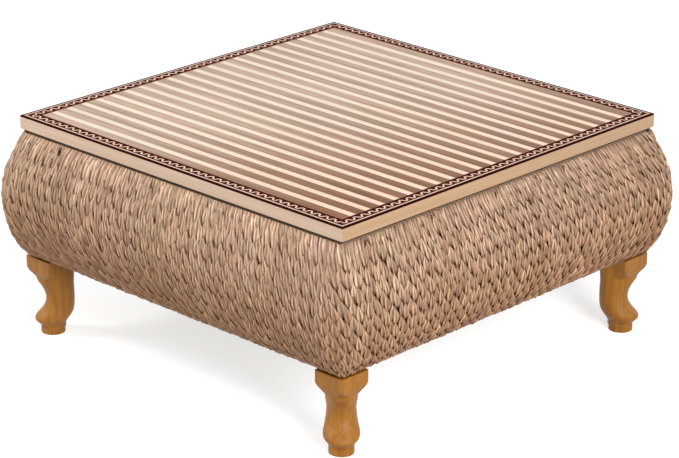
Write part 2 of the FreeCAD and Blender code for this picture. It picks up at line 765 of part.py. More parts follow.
def make_mat():
    """Make the mat: cloth backing, light and dark slats in turn, ribbon border."""
    backing = box_body(
        "mat_backing",
        (minus(OUTER_HALF), OUTER_HALF),
        (minus(OUTER_HALF), OUTER_HALF),
        (LID_TOP, MAT_BASE),
    )
    keep(backing, "mat_backing")
    count = "Sizes.light_slat_count"
    field_half = less(OUTER_HALF, "Sizes.ribbon_width")
    slat_top = total(MAT_BASE, "Sizes.slat_thickness")
    used = f"({count} * (Sizes.light_slat_width + 2 * Sizes.slat_gap))"
    dark_width = f"((2 * {field_half} - {used}) / ({count} + 1))"
    pitch = f"({dark_width} + Sizes.light_slat_width + 2 * Sizes.slat_gap)"
    kinds = (
        ("mat_dark_slats", minus(field_half), dark_width, f"({count} + 1)"),
        (
            "mat_light_slats",
            f"({dark_width} + Sizes.slat_gap - {field_half})",
            "Sizes.light_slat_width",
            count,
        ),
    )
    for name, start, width, slats in kinds:
        body = box_body(
            name,
            (minus(field_half), field_half),
            (start, total(start, width)),
            (MAT_BASE, slat_top),
        )
        row_pattern(body, f"{name}_row", body.Tip, "Y_Axis", f"(({slats} - 1) * {pitch})", slats)
        keep(body, name)
    profile = (
        (minus(OUTER_HALF), MAT_BASE),
        (minus(field_half), MAT_BASE),
        (minus(field_half), total(MAT_BASE, "Sizes.ribbon_thickness")),
        (minus(OUTER_HALF), total(MAT_BASE, "Sizes.ribbon_thickness")),
    )
    for step, side in enumerate(SIDES):
        body = mitred_body(f"ribbon_{side}", profile, OUTER_HALF, "Sizes.ribbon_width")
        keep(turned(body, step * QUARTER_TURN), f"ribbon_{side}")


# Hinges: two leaves that share a barrel, a pin through it, countersunk screws
def make_hinge_leaf(name, place, plate_low, knuckles, facing_up):
    """Make one leaf: plate, its own knuckles, the pin's bore and screw holes."""
    body = new_body(name)
    plate_high = total(plate_low, "Sizes.hinge_leaf_thickness")
    plate = new_sketch(body, f"{name}_plate", "YZ_Plane")
    draw_box(plate, LEAF_EDGE_Y, OUTER_HALF, plate_low, plate_high)
    pad(body, f"{name}_plate_pad", plate, "Sizes.hinge_leaf_length", symmetric=True)
    stride = f"(Sizes.hinge_leaf_length / {KNUCKLES_PER_HINGE})"
    length = less(stride, "Sizes.knuckle_gap")
    for order in knuckles:
        reach = total(part_of(stride, order), half("Sizes.knuckle_gap"))
        start = less(reach, half("Sizes.hinge_leaf_length"))
        strap = new_sketch(body, f"{name}_strap_{order}", "YZ_Plane", start)
        draw_box(strap, OUTER_HALF, HINGE_Y, plate_low, plate_high)
        pad(body, f"{name}_strap_pad_{order}", strap, length)
        barrel = new_sketch(body, f"{name}_barrel_{order}", "YZ_Plane", start)
        draw_circle(barrel, HINGE_Y, HINGE_Z, "Sizes.hinge_barrel_diameter")
        pad(body, f"{name}_barrel_pad_{order}", barrel, length)
    bore = new_sketch(body, f"{name}_bore", "YZ_Plane")
    play = total("Sizes.hinge_pin_clearance", "Sizes.hinge_pin_clearance")
    draw_circle(bore, HINGE_Y, HINGE_Z, total("Sizes.hinge_pin_diameter", play))
    pocket(body, f"{name}_bore_cut", bore)
    level = plate_high if facing_up else plate_low
    places = new_sketch(body, f"{name}_screw_places", "XY_Plane", level)
    for step in range(SCREWS_PER_LEAF):
        shift = part_of("Sizes.screw_pitch", step - (SCREWS_PER_LEAF - 1) / 2)
        wide = total("Sizes.screw_head_diameter", "Sizes.screw_clearance", "Sizes.screw_clearance")
        draw_circle(places, shift, SCREW_Y, wide)
    before = body.Shape.Volume
    holes = body.newObject("PartDesign::Pocket", f"{name}_countersinks")
    holes.Profile = places
    holes.Reversed = not facing_up
    holes.setExpression("Length", total("Sizes.hinge_leaf_thickness", "Sizes.screw_clearance"))
    sink_slope = "(Sizes.screw_head_diameter - Sizes.screw_diameter) / (2 * Sizes.hinge_leaf_thickness)"
    holes.setExpression("TaperAngle", f"-atan({sink_slope})")
    doc.recompute()
    if body.Shape.Volume >= before:
        raise RuntimeError(f"{name}: countersinks cut nothing")
    body.setExpression("Placement.Base.x", place)
    keep(body, name)


def make_hinge_pin(name, place):
    """Make the pin, as long as the barrel with a low head at each end."""
    body = new_body(name)
    shank = new_sketch(body, f"{name}_shank", "YZ_Plane")
    draw_circle(shank, HINGE_Y, HINGE_Z, "Sizes.hinge_pin_diameter")
    pad(body, f"{name}_shank_pad", shank, "Sizes.hinge_leaf_length", symmetric=True)
    for end, sign in (("left", -1), ("right", 1)):
        start = part_of(half("Sizes.hinge_leaf_length"), sign)
        if sign < 0:
            start = less(start, "Sizes.hinge_pin_head")
        head = new_sketch(body, f"{name}_head_{end}", "YZ_Plane", start)
        draw_circle(head, HINGE_Y, HINGE_Z, "Sizes.hinge_pin_head_diameter")
        pad(body, f"{name}_head_pad_{end}", head, "Sizes.hinge_pin_head")
    body.setExpression("Placement.Base.x", place)
    keep(body, name)


def make_screws(name, level, upwards):
    """Make the six countersunk screws of one set of leaves."""
    body = new_body(name)
    outline = new_sketch(body, f"{name}_outline", "XZ_Plane")
    first = less(hinge_places()[0], "Sizes.screw_pitch")
    sign = 1 if upwards else -1
    depths = ("0", "Sizes.hinge_leaf_thickness", less("Sizes.screw_length", "Sizes.screw_tip_length"))
    levels = [total(level, part_of(depth, sign)) for depth in depths + ("Sizes.screw_length",)]
    head = total(first, half("Sizes.screw_head_diameter"))
    shank = total(first, half("Sizes.screw_diameter"))
    draw_outline(
        outline,
        ((first, levels[0]), (head, levels[0]), (shank, levels[1]), (shank, levels[2]), (first, levels[3])),
    )
    outline.setExpression("AttachmentOffset.Base.z", minus(SCREW_Y))
    turn = body.newObject("PartDesign::Revolution", f"{name}_turned")
    turn.Profile = outline
    turn.ReferenceAxis = (outline, ["Edge5"])
    turn.Angle = 4 * QUARTER_TURN
    doc.recompute()
    span = f"({SCREWS_PER_LEAF - 1} * Sizes.screw_pitch)"
    row_pattern(body, f"{name}_leaf_row", turn, "X_Axis", span, str(SCREWS_PER_LEAF))
    axis = next(item for item in body.Origin.OriginFeatures if item.Role == "X_Axis")
    row = body.newObject("PartDesign::LinearPattern", f"{name}_hinge_row")
    row.TransformMode = "Whole shape"
    row.Direction = (axis, [""])
    row.Mode = "Extent"
    row.setExpression("Length", total(HINGE_REACH, HINGE_REACH))
    row.Occurrences = HINGES
    body.Tip = row
    doc.recompute()
    keep(body, name)


def make_hinges():
    """Make both butt hinges with their pins and screws."""
    lid_knuckles = range(1, KNUCKLES_PER_HINGE, 2)
    body_knuckles = range(0, KNUCKLES_PER_HINGE, 2)
    leaf_bottom = less(RIM_TOP, "Sizes.hinge_leaf_thickness")
    for side, place in zip(("left", "right"), hinge_places()):
        make_hinge_leaf(f"hinge_leaf_lid_{side}", place, LID_BOTTOM, lid_knuckles, facing_up=False)
        make_hinge_leaf(f"hinge_leaf_body_{side}", place, leaf_bottom, body_knuckles, facing_up=True)
        make_hinge_pin(f"hinge_pin_{side}", place)
    make_screws("hinge_screws_lid", LID_BOTTOM, upwards=True)
    make_screws("hinge_screws_body", RIM_TOP, upwards=False)


def check_document():
    """Stop if any object failed or any node's shape is missing or broken."""
    doc.recompute()
    failed = [item.Name for item in doc.Objects if {"Invalid", "Error"} & set(item.State)]
    if failed:
        raise RuntimeError(f"failed objects: {failed}")
    for node in nodes:
        if node.Shape.isNull() or not node.Shape.isValid() or not node.Shape.Solids:
            raise RuntimeError(f"bad shape: {node.Label}")


def write_nodes():
    """Write each node's shape to its own file."""
    os.makedirs("parts", exist_ok=True)
    for node in nodes:
        node.Shape.exportStep(f"parts/{node.Label}.step")
        print(f"{node.Label}: {len(node.Shape.Solids)} solids, {node.Shape.Volume / 1000:.1f} cm3")


make_legs()
make_leg_fixings()
make_base_rails()
make_box()
make_rim()
make_weave()
make_hoop()
make_ribs(make_rib_envelope())
make_lid_board()
make_mat()
make_hinges()
check_document()
write_nodes()
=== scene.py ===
"""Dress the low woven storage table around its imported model.

The table has a husk-woven bulging body, a hinged lid with a bamboo mat and a
ribbon border, and four carved legs. Lengths are in metres, +Z is up, the front
is at -Y and the lid's hinges are at +Y.
"""

import logging
import math
from dataclasses import dataclass
from enum import Enum
from functools import lru_cache
from typing import Callable, Optional, Sequence, Union

import bmesh
import bpy
import numpy as np
from mathutils import Matrix, Quaternion, Vector


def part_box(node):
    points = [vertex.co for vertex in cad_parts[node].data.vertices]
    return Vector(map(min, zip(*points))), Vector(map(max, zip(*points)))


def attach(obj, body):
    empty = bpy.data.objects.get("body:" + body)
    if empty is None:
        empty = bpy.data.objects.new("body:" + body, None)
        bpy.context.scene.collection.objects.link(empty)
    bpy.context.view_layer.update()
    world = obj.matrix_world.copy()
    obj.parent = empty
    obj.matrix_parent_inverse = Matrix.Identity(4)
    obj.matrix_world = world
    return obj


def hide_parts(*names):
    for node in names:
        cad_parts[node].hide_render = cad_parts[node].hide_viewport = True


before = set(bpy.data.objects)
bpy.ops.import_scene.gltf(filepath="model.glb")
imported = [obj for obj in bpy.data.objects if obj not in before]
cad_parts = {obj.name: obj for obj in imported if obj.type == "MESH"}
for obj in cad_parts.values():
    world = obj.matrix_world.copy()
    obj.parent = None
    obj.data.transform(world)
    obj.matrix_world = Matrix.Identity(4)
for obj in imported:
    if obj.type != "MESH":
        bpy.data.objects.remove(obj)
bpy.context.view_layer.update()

LOG = logging.getLogger("woven_table")
FULL_TURN = 2 * math.pi

# Heights and places this near count as the same
LEVEL = 0.0001

Colour = tuple[float, float, float]
Point = tuple[float, float, float]

WHITE: Colour = (1.0, 1.0, 1.0)

CORNERS = ("front_right", "rear_right", "rear_left", "front_left")


class Rider(str, Enum):
    """The two bodies of the table that pieces ride on."""

    BODY = "body"
    LID = "lid"


class Axis(Enum):
    """The direction in which a member's grain runs."""

    X = 0
    Y = 1
    Z = 2


class Side(Enum):
    """The table's sides, each with its quarter turn from the front."""

    FRONT = 0
    RIGHT = 1
    REAR = 2
    LEFT = 3

    @property
    def word(self) -> str:
        """Return the side's name as node names have it."""
        return self.name.lower()

    @property
    def turn(self) -> Matrix:
        """Return the rotation that brings the front side to this side."""
        return Matrix.Rotation(self.value * math.pi / 2, 4, "Z")

    @property
    def grain(self) -> Axis:
        """Return the direction of a member that runs along this side."""
        return Axis.X if self.value % 2 == 0 else Axis.Y


def srgb(red: int, green: int, blue: int) -> Colour:
    """Turn a colour given as 0-255 display values into linear light.

    Args:
        red: Red display value.
        green: Green display value.
        blue: Blue display value.

    Returns:
        The linear colour.
    """
    shares = [channel / 255 for channel in (red, green, blue)]
    linear = [s / 12.92 if s <= 0.04045 else ((s + 0.055) / 1.055) ** 2.4 for s in shares]
    return (linear[0], linear[1], linear[2])


# Shader maths

class Wire:
    """An output socket that can stand in a Python expression."""

    def __init__(self, shader: "Shader", socket: bpy.types.NodeSocket) -> None:
        """Hold a socket and the shader that it belongs to."""
        self.shader = shader
        self.socket = socket

    def __add__(self, other: "Term") -> "Wire":
        """Return the sum."""
        return self.shader.maths("ADD", self, other)

    __radd__ = __add__

    def __sub__(self, other: "Term") -> "Wire":
        """Return the difference."""
        return self.shader.maths("SUBTRACT", self, other)

    def __rsub__(self, other: "Term") -> "Wire":
        """Return the difference from another value."""
        return self.shader.maths("SUBTRACT", other, self)

    def __mul__(self, other: "Term") -> "Wire":
        """Return the product."""
        return self.shader.maths("MULTIPLY", self, other)

    __rmul__ = __mul__

    def __truediv__(self, other: "Term") -> "Wire":
        """Return the quotient."""
        return self.shader.maths("DIVIDE", self, other)

    def __lt__(self, other: "Term") -> "Wire":
        """Return 1 where this is under the other value, else 0."""
        return self.shader.maths("LESS_THAN", self, other)

    def __gt__(self, other: "Term") -> "Wire":
        """Return 1 where this is over the other value, else 0."""
        return self.shader.maths("GREATER_THAN", self, other)


Term = Union[Wire, float]


class Shader:
    """The node tree of one material or world, written as expressions."""

    def __init__(self, name: str, world: bool = False) -> None:
        """Start an empty material, or an empty world.

        Args:
            name: Its name.
            world: True for a world.
        """
        self.material = (bpy.data.worlds if world else bpy.data.materials).new(name)
        self.material.use_nodes = True
        self.tree = self.material.node_tree
        self.tree.nodes.clear()

    def node(
        self,
        kind: str,
        settings: Optional[dict] = None,
        sockets: Optional[dict] = None,
        output: Union[int, str] = 0,
    ) -> Wire:
        """Add a node and return one of its outputs.

        Args:
            kind: The node's type.
            settings: Properties that are set first.
            sockets: Values or wires, by the input's name or number.
            output: The output to return.

        Returns:
            The output as a wire.
        """
        made = self.tree.nodes.new(kind)
        for name, value in (settings or {}).items():
            setattr(made, name, value)
        for key, value in (sockets or {}).items():
            if isinstance(value, Wire):
                self.tree.links.new(value.socket, made.inputs[key])
            elif isinstance(value, tuple) and len(value) == 3 and made.inputs[key].type == "RGBA":
                made.inputs[key].default_value = (*value, 1.0)
            else:
                made.inputs[key].default_value = value
        return Wire(self, made.outputs[output])

    def maths(self, operation: str, *terms: Term) -> Wire:
        """Return a Math node's value for one to three terms."""
        return self.node("ShaderNodeMath", {"operation": operation}, dict(enumerate(terms)))

    def between(self, value: Term, low: Term, high: Term) -> Wire:
        """Return 1 where a value lies between two others, else 0."""
        return (value > low) * (value < high)

    def smooth(self, value: Term, start: float, end: float) -> Wire:
        """Return a soft step from 0 at start to 1 at end."""
        return self.node(
            "ShaderNodeMapRange",
            {"interpolation_type": "SMOOTHSTEP"},
            {"Value": value, "From Min": start, "From Max": end},
        )

    def coordinates(self) -> Wire:
        """Return the place on the object, in metres."""
        return self.node("ShaderNodeTexCoord", output="Object")

    def parts(self, vector: Wire) -> tuple[Wire, Wire, Wire]:
        """Return the three coordinates of a vector."""
        split = self.tree.nodes.new("ShaderNodeSeparateXYZ")
        self.tree.links.new(vector.socket, split.inputs[0])
        return Wire(self, split.outputs[0]), Wire(self, split.outputs[1]), Wire(self, split.outputs[2])

    def uv(self, name: str) -> tuple[Wire, Wire]:
        """Return the two coordinates of a UV map."""
        along, across, _ = self.parts(self.node("ShaderNodeUVMap", {"uv_map": name}))
        return along, across

    def waves(self, value: Term, pitch: float) -> Wire:
        """Return a sine of a value with one wave to each pitch."""
        return self.maths("SINE", value * (FULL_TURN / pitch))

    def attribute(self, name: str, output: str = "Fac") -> Wire:
        """Return a mesh attribute, as a number or with output Color as a colour."""
        return self.node("ShaderNodeAttribute", {"attribute_name": name}, output=output)

    def vector(self, x: Term, y: Term, z: Term = 0.0) -> Wire:
        """Return a vector of three terms."""
        return self.node("ShaderNodeCombineXYZ", sockets={0: x, 1: y, 2: z})

    def stretch(self, vector: Wire, scale: Point, offset: Optional[Wire] = None) -> Wire:
        """Return a vector with each coordinate multiplied, and moved by an offset."""
        scaled = self.node(
            "ShaderNodeVectorMath", {"operation": "MULTIPLY"}, {0: vector, 1: scale}
        )
        if offset is None:
            return scaled
        return self.node("ShaderNodeVectorMath", {"operation": "ADD"}, {0: scaled, 1: offset})

    def noise(self, vector: Wire, scale: float, detail: float = 2.0, distortion: float = 0.0) -> Wire:
        """Return soft noise around 0.5."""
        return self.node(
            "ShaderNodeTexNoise",
            sockets={"Vector": vector, "Scale": scale, "Detail": detail, "Distortion": distortion},
        )

    def mix(self, factor: Term, first: Union[Wire, Colour], second: Union[Wire, Colour]) -> Wire:
        """Return a blend of two colours."""
        return self.node(
            "ShaderNodeMix", {"data_type": "RGBA"}, {0: factor, 6: first, 7: second}, output=2
        )

    def shade(self, colour: Union[Wire, Colour], factor: Term) -> Wire:
        """Return a colour made lighter or darker by a factor."""
        return self.node(
            "ShaderNodeVectorMath", {"operation": "SCALE"}, {0: colour, "Scale": factor}
        )

    def tinted(self, colour: Wire, tint: Wire) -> Wire:
        """Return a colour multiplied by a tint."""
        return self.node(
            "ShaderNodeVectorMath", {"operation": "MULTIPLY"}, {0: colour, 1: tint}
        )

    def bump(self, height: Term, depth: float, below: Optional[Wire] = None) -> Wire:
        """Return the normal of a relief.

        Args:
            height: The relief, 0 to 1.
            depth: How deep it is, in metres.
            below: The normal of a coarser relief under this one.

        Returns:
            The normal.
        """
        sockets = {"Height": height, "Distance": depth, "Strength": 1.0}
        if below is not None:
            sockets["Normal"] = below
        return self.node("ShaderNodeBump", sockets=sockets)

    def finish(self, linked: dict, fixed: Optional[dict] = None) -> bpy.types.Material:
        """End the tree with a Principled surface.

        Args:
            linked: What varies over the surface, by socket name.
            fixed: What is the same all over, by socket name.

        Returns:
            The material.
        """
        surface = self.node("ShaderNodeBsdfPrincipled", sockets={**(fixed or {}), **linked})
        self.end(surface)
        return self.material

    def end(self, surface: Wire, output_kind: str = "ShaderNodeOutputMaterial") -> None:
        """Link a surface to the material's or the world's output."""
        output = self.tree.nodes.new(output_kind)
        self.tree.links.new(surface.socket, output.inputs["Surface"])


# Finishes

@dataclass(frozen=True)
class WoodFinish:
    """Planed wood with growth bands and pores along its grain, and painted shade on outer edges if
    asked.

    Attributes:
        name: The finish's name.
        light: Early wood's colour.
        dark: Late wood's colour.
        band_width: Width of a growth band, in metres.
        band_length: How far a band keeps its line, in metres.
        pore_strength: How much the pores darken the wood.
        figure: How strong the bands are, 0 to 1.
        roughness: Roughness of the finish.
        coat: Weight of the varnish.
        stain_reach: Distance from the table's middle beyond which edges get painted seam shade.
        drift_size: Length and width of the wood's slow changes of colour.
        pore_size: Length and width of a pore.
    """

    name: str
    light: Colour
    dark: Colour
    band_width: float = 0.006
    band_length: float = 0.12
    pore_strength: float = 0.18
    figure: float = 1.0
    roughness: float = 0.45
    coat: float = 0.0
    stain_reach: Optional[float] = None
    drift_size: tuple[float, float] = (0.35, 0.06)
    pore_size: tuple[float, float] = (0.009, 0.0005)

    @staticmethod
    def _grown(
        shader: Shader, place: Wire, grain: Axis, size: tuple[float, float], detail: float = 2.0,
        distortion: float = 0.0,
    ) -> Wire:
        """Return noise stretched along the grain.

        Args:
            shader: The shader.
            place: The place on the object.
            grain: The grain's direction.
            size: Length and width of the noise's grains.
            detail: How fine the noise goes.
            distortion: How much it is bent.

        Returns:
            The noise.
        """
        along, across = size
        scale = tuple(1 / (along if axis is grain else across) for axis in Axis)
        return shader.noise(shader.stretch(place, scale), 1.0, detail, distortion)

    def _stained(self, shader: Shader, place: Wire, colour: Wire) -> Wire:
        """Paint the outer edge dark, as painted shade for the seam under the lid."""
        x, y, _ = shader.parts(place)
        aside = shader.maths("MAXIMUM", shader.maths("ABSOLUTE", x), shader.maths("ABSOLUTE", y))
        return shader.mix(aside > self.stain_reach, colour, SEAM_SHADE)

    @lru_cache(maxsize=None)
    def material(self, grain: Axis) -> bpy.types.Material:
        """Make the finish for members whose grain runs along an axis.

        Args:
            grain: The grain's direction.

        Returns:
            The material.
        """
        shader = Shader(f"{self.name}_{grain.name.lower()}")
        place = shader.coordinates()
        bands = self._grown(shader, place, grain, (self.band_length, self.band_width), 3.0, 0.6)
        drift = self._grown(shader, place, grain, self.drift_size)
        pores = self._grown(shader, place, grain, self.pore_size)
        figure = shader.smooth(bands * 0.7 + drift * 0.3, 0.34, 0.68) * self.figure
        colour = shader.mix(figure, self.light, self.dark)
        pore_mask = shader.smooth(pores, 0.56, 0.74)
        colour = shader.shade(colour, 1 - pore_mask * self.pore_strength)
        colour = shader.shade(colour, shader.smooth(drift, 0.2, 0.8) * 0.12 + 0.94)
        if self.stain_reach is not None:
            colour = self._stained(shader, place, colour)
        normal = shader.bump(1 - pore_mask, 0.00006)
        rough = pore_mask * 0.15 + self.roughness
        return shader.finish(
            {"Base Color": colour, "Roughness": rough, "Normal": normal},
            {"Coat Weight": self.coat, "Coat Roughness": 0.22},
        )


@dataclass(frozen=True)
class HuskFinish:
    """Dried husk strands: fine creases along each strand, colours with painted highlight and shade from
    the mesh.

    Attributes:
        name: The finish's name.
        crease_width: Width of a crease, in metres.
        crease_length: Length over which a crease keeps its line, in metres.
        crease_depth: Depth of the creases, in metres.
        fibre_width: Width of a fibre, in metres.
        fibre_length: Length over which a fibre keeps its line, in metres.
        blotch_size: Width and length of a blotch, in metres.
        low_painted_shade: What the colour is multiplied by low on the body: painted shade, darker and
            browner towards the bottom.
        patch_tint: What it is multiplied by in scattered patches.
        low_shade_levels: Heights between which the painted shade fades out.
        roughness: Roughness of the husk.
    """

    name: str = "husk_strands"
    crease_width: float = 0.0017
    crease_length: float = 0.035
    crease_depth: float = 0.0004
    fibre_width: float = 0.0008
    fibre_length: float = 0.016
    blotch_size: tuple[float, float] = (0.02, 0.03)
    low_painted_shade: Colour = (0.93, 0.79, 0.65)
    patch_tint: Colour = (0.98, 0.98, 0.94)
    low_shade_levels: tuple[float, float] = (0.12, 0.27)
    roughness: float = 0.62

    @lru_cache(maxsize=None)
    def material(self) -> bpy.types.Material:
        """Make the finish.

        Returns:
            The material.
        """
        shader = Shader(self.name)
        across, along = shader.uv("strand")
        colour = shader.attribute("husk", "Color")
        creases = shader.noise(
            shader.vector(across / self.crease_width, along / self.crease_length), 1.0, 3.0, 0.3
        )
        fibres = shader.noise(
            shader.vector(across / self.fibre_width, along / self.fibre_length, 3.7), 1.0, 2.0
        )
        wide, long = self.blotch_size
        blotches = shader.noise(shader.vector(across / wide, along / long, 9.1), 1.0, 3.0)
        # The crease streaks darken the colour in the creases and lighten it on the ridges: partly the
        # husk's own streaky colour, partly painted shade and highlight
        streaks = shader.smooth(creases, 0.38, 0.62)
        light = streaks * 0.6 + shader.smooth(fibres, 0.3, 0.7) * 0.26 + blotches * 0.24 + 0.38
        colour = shader.shade(colour, light)
        place = shader.coordinates()
        _, _, height = shader.parts(place)
        # Painted shade low on the body, fading out between two heights
        level = shader.smooth(height, *self.low_shade_levels)
        colour = shader.tinted(colour, shader.mix(level, self.low_painted_shade, WHITE))
        patches = shader.smooth(shader.noise(place, 10.0, 2.0), 0.46, 0.60)
        colour = shader.tinted(colour, shader.mix(patches, WHITE, self.patch_tint))
        normal = shader.bump(streaks, self.crease_depth)
        normal = shader.bump(fibres, 0.00008, normal)
        rough = fibres * 0.2 + (self.roughness - 0.1)
        return shader.finish(
            {"Base Color": colour, "Roughness": rough, "Normal": normal},
            {"Specular IOR Level": 0.3},
        )


@dataclass(frozen=True)
class BambooFinish:
    """Lacquered bamboo slats, each with a tone of its own.

    Attributes:
        name: The finish's name.
        warm: Colour of the slats' warm stretches.
        cool: Colour of their cool stretches.
        fibre: Colour of the fibres' dark lines.
        spread: How far the slats' tones lie apart.
        end_tint: What the colour is multiplied by towards the front right corner.
    """

    name: str
    warm: Colour
    cool: Colour
    fibre: Colour
    spread: float
    end_tint: Colour = WHITE

    @lru_cache(maxsize=None)
    def material(self) -> bpy.types.Material:
        """Make the finish; slats run along X.

        Returns:
            The material.
        """
        shader = Shader(self.name)
        tone = shader.attribute("tone")
        place = shader.coordinates()
        own = shader.vector(tone * 3.1, tone * 5.3, tone * 7.7)
        drift = shader.noise(shader.stretch(place, (5.0, 20.0, 1.0), own), 1.0, 2.0)
        hue = shader.noise(shader.stretch(place, (6.0, 170.0, 1.0), own), 1.0, 2.0)
        fibres = shader.noise(shader.stretch(place, (22.0, 2300.0, 1.0), own), 1.0, 3.0)
        streaks = shader.noise(shader.stretch(place, (6.0, 420.0, 1.0), own), 1.0, 2.0)
        colour = shader.mix(shader.smooth(hue, 0.38, 0.62), self.warm, self.cool)
        lines = shader.smooth(fibres, 0.5, 0.72) * 0.4 + shader.smooth(streaks, 0.46, 0.66) * 0.45
        colour = shader.mix(lines, colour, self.fibre)
        colour = shader.shade(colour, drift * 0.12 + tone * self.spread + 0.94)
        x, y, _ = shader.parts(place)
        end = shader.smooth(x - y * 0.3 + (drift - 0.5) * 0.2, -0.14, 0.36)
        colour = shader.tinted(colour, shader.mix(end, WHITE, self.end_tint))
        normal = shader.bump(fibres, 0.00004)
        return shader.finish(
            {"Base Color": colour, "Roughness": fibres * 0.12 + 0.36, "Normal": normal},
            {"Specular IOR Level": 0.12},
        )


@dataclass(frozen=True)
class BrocadeFinish:
    """Woven ribbon: a running wave between border lines.

    Places across the ribbon are distances from its outer edge, in metres.

    Attributes:
        name: The finish's name.
        ground: The maroon ground.
        line: The dark border lines.
        thread: The pale thread of the wave and the pale line.
        fringe: The fuzzy inner edge.
        pitch: Distance from one wave to the next.
        middle: Where the wave's middle lies across the ribbon.
        reach: How far the wave swings to either side.
        stroke: Half the width of its strokes.
        pale_line: Where the pale border line starts and ends.
        dash_pitch: Distance from one of its dashes to the next.
        outer_lines_end: Where the dark lines beside it end.
        inner_line: Where the dark inner line starts and ends.
        threads: Distances between the threads along and across the ribbon.
    """

    name: str = "brocade_ribbon"
    ground: Colour = srgb(88, 20, 18)
    line: Colour = srgb(54, 8, 8)
    thread: Colour = srgb(255, 224, 200)
    fringe: Colour = srgb(196, 150, 128)
    pitch: float = 0.0134
    middle: float = 0.0126
    reach: float = 0.0030
    stroke: float = 0.0015
    pale_line: tuple[float, float] = (0.0036, 0.0062)
    dash_pitch: float = 0.0045
    outer_lines_end: float = 0.0084
    inner_line: tuple[float, float] = (0.0178, 0.0210)
    threads: tuple[float, float] = (0.0019, 0.0007)

    @lru_cache(maxsize=None)
    def material(self) -> bpy.types.Material:
        """Make the finish.

        Returns:
            The material.
        """
        shader = Shader(self.name)
        along, across = shader.uv("ribbon")
        cell = (shader.maths("FRACT", along / self.pitch) - 0.5) * self.pitch
        height = across - self.middle
        swing = shader.waves(cell, self.pitch) * self.reach
        slant = shader.maths("COSINE", cell * (FULL_TURN / self.pitch))
        stem = shader.maths("ABSOLUTE", height - swing) < (slant * slant * 0.9 + 0.6) * self.stroke
        dash = shader.smooth(shader.waves(along, self.dash_pitch), -0.6, 0.4)
        pale = shader.between(across, *self.pale_line) * (dash * 0.3 + 0.7)
        edges = shader.maths(
            "MAXIMUM", across < self.outer_lines_end, shader.between(across, *self.inner_line)
        )
        fuzz = shader.noise(shader.coordinates(), 420.0, 3.0)
        worn = shader.smooth(across + fuzz * 0.0012, self.inner_line[1], self.inner_line[1] + 0.0008)
        colour = shader.mix(stem, self.ground, self.thread)
        colour = shader.mix(edges, colour, self.line)
        colour = shader.mix(pale, colour, self.thread)
        colour = shader.mix(worn, colour, self.fringe)
        warp, weft = (shader.waves(way, pitch) for way, pitch in zip((along, across), self.threads))
        threads = warp * 0.7 + weft * 0.3
        wear = shader.noise(shader.coordinates(), 160.0, 3.0)
        colour = shader.shade(colour, threads * 0.12 + wear * 0.3 + 0.84)
        relief = shader.maths("MAXIMUM", stem * (1 - edges), pale)
        normal = shader.bump(relief, 0.0003)
        normal = shader.bump(threads, 0.0001, normal)
        return shader.finish(
            {"Base Color": colour, "Roughness": wear * 0.1 + 0.85, "Normal": normal},
            {"Specular IOR Level": 0.04},
        )


@dataclass(frozen=True)
class MetalFinish:
    """Brushed metal with faint scratches and dull patches.

    Attributes:
        name: The finish's name.
        bright: Colour where it is polished.
        dull: Colour where it is tarnished.
        roughness: Roughness where it is polished.
    """

    name: str
    bright: Colour
    dull: Colour
    roughness: float

    @lru_cache(maxsize=None)
    def material(self) -> bpy.types.Material:
        """Make the finish.

        Returns:
            The material.
        """
        shader = Shader(self.name)
        place = shader.coordinates()
        patches = shader.noise(place, 90.0, 4.0)
        brush = shader.noise(shader.stretch(place, (60.0, 2500.0, 2500.0)), 1.0, 2.0)
        colour = shader.mix(shader.smooth(patches, 0.45, 0.7), self.bright, self.dull)
        rough = patches * 0.25 + brush * 0.12 + self.roughness
        normal = shader.bump(brush, 0.00002)
        return shader.finish(
            {"Base Color": colour, "Roughness": rough, "Normal": normal}, {"Metallic": 1.0}
        )


@dataclass(frozen=True)
class ClothFinish:
    """Plain-woven cloth.

    Attributes:
        name: The finish's name.
        colour: The cloth's colour.
        thread_pitch: Distance between threads, in metres.
    """

    name: str
    colour: Colour
    thread_pitch: float = 0.0008

    @lru_cache(maxsize=None)
    def material(self) -> bpy.types.Material:
        """Make the finish.

        Returns:
            The material.
        """
        shader = Shader(self.name)
        place = shader.coordinates()
        x, y, _ = shader.parts(place)
        warp, weft = shader.waves(x, self.thread_pitch), shader.waves(y, self.thread_pitch)
        threads = warp * weft * 0.5 + 0.5
        fuzz = shader.noise(place, 300.0, 3.0)
        colour = shader.shade(self.colour, threads * 0.3 + fuzz * 0.4 + 0.6)
        normal = shader.bump(threads, 0.0001)
        return shader.finish({"Base Color": colour, "Roughness": fuzz * 0.1 + 0.85, "Normal": normal})


# Painted shade for the dark seam between the lid and the body
SEAM_SHADE = srgb(26, 12, 5)
PINK_WOOD = WoodFinish(
    "pink_wood", srgb(236, 205, 178), srgb(220, 187, 158), 0.006, 0.22, 0.06, 0.7, 0.45, 0.10
)
# Copy of the pink wood for the left and right lid edges: yellower in its own hue, and darker as painted
# shade
TAN_SHADED_WOOD = WoodFinish(
    "tan_shaded_wood", srgb(215, 176, 137), srgb(199, 159, 118), 0.006, 0.22, 0.06, 0.7, 0.45, 0.10
)
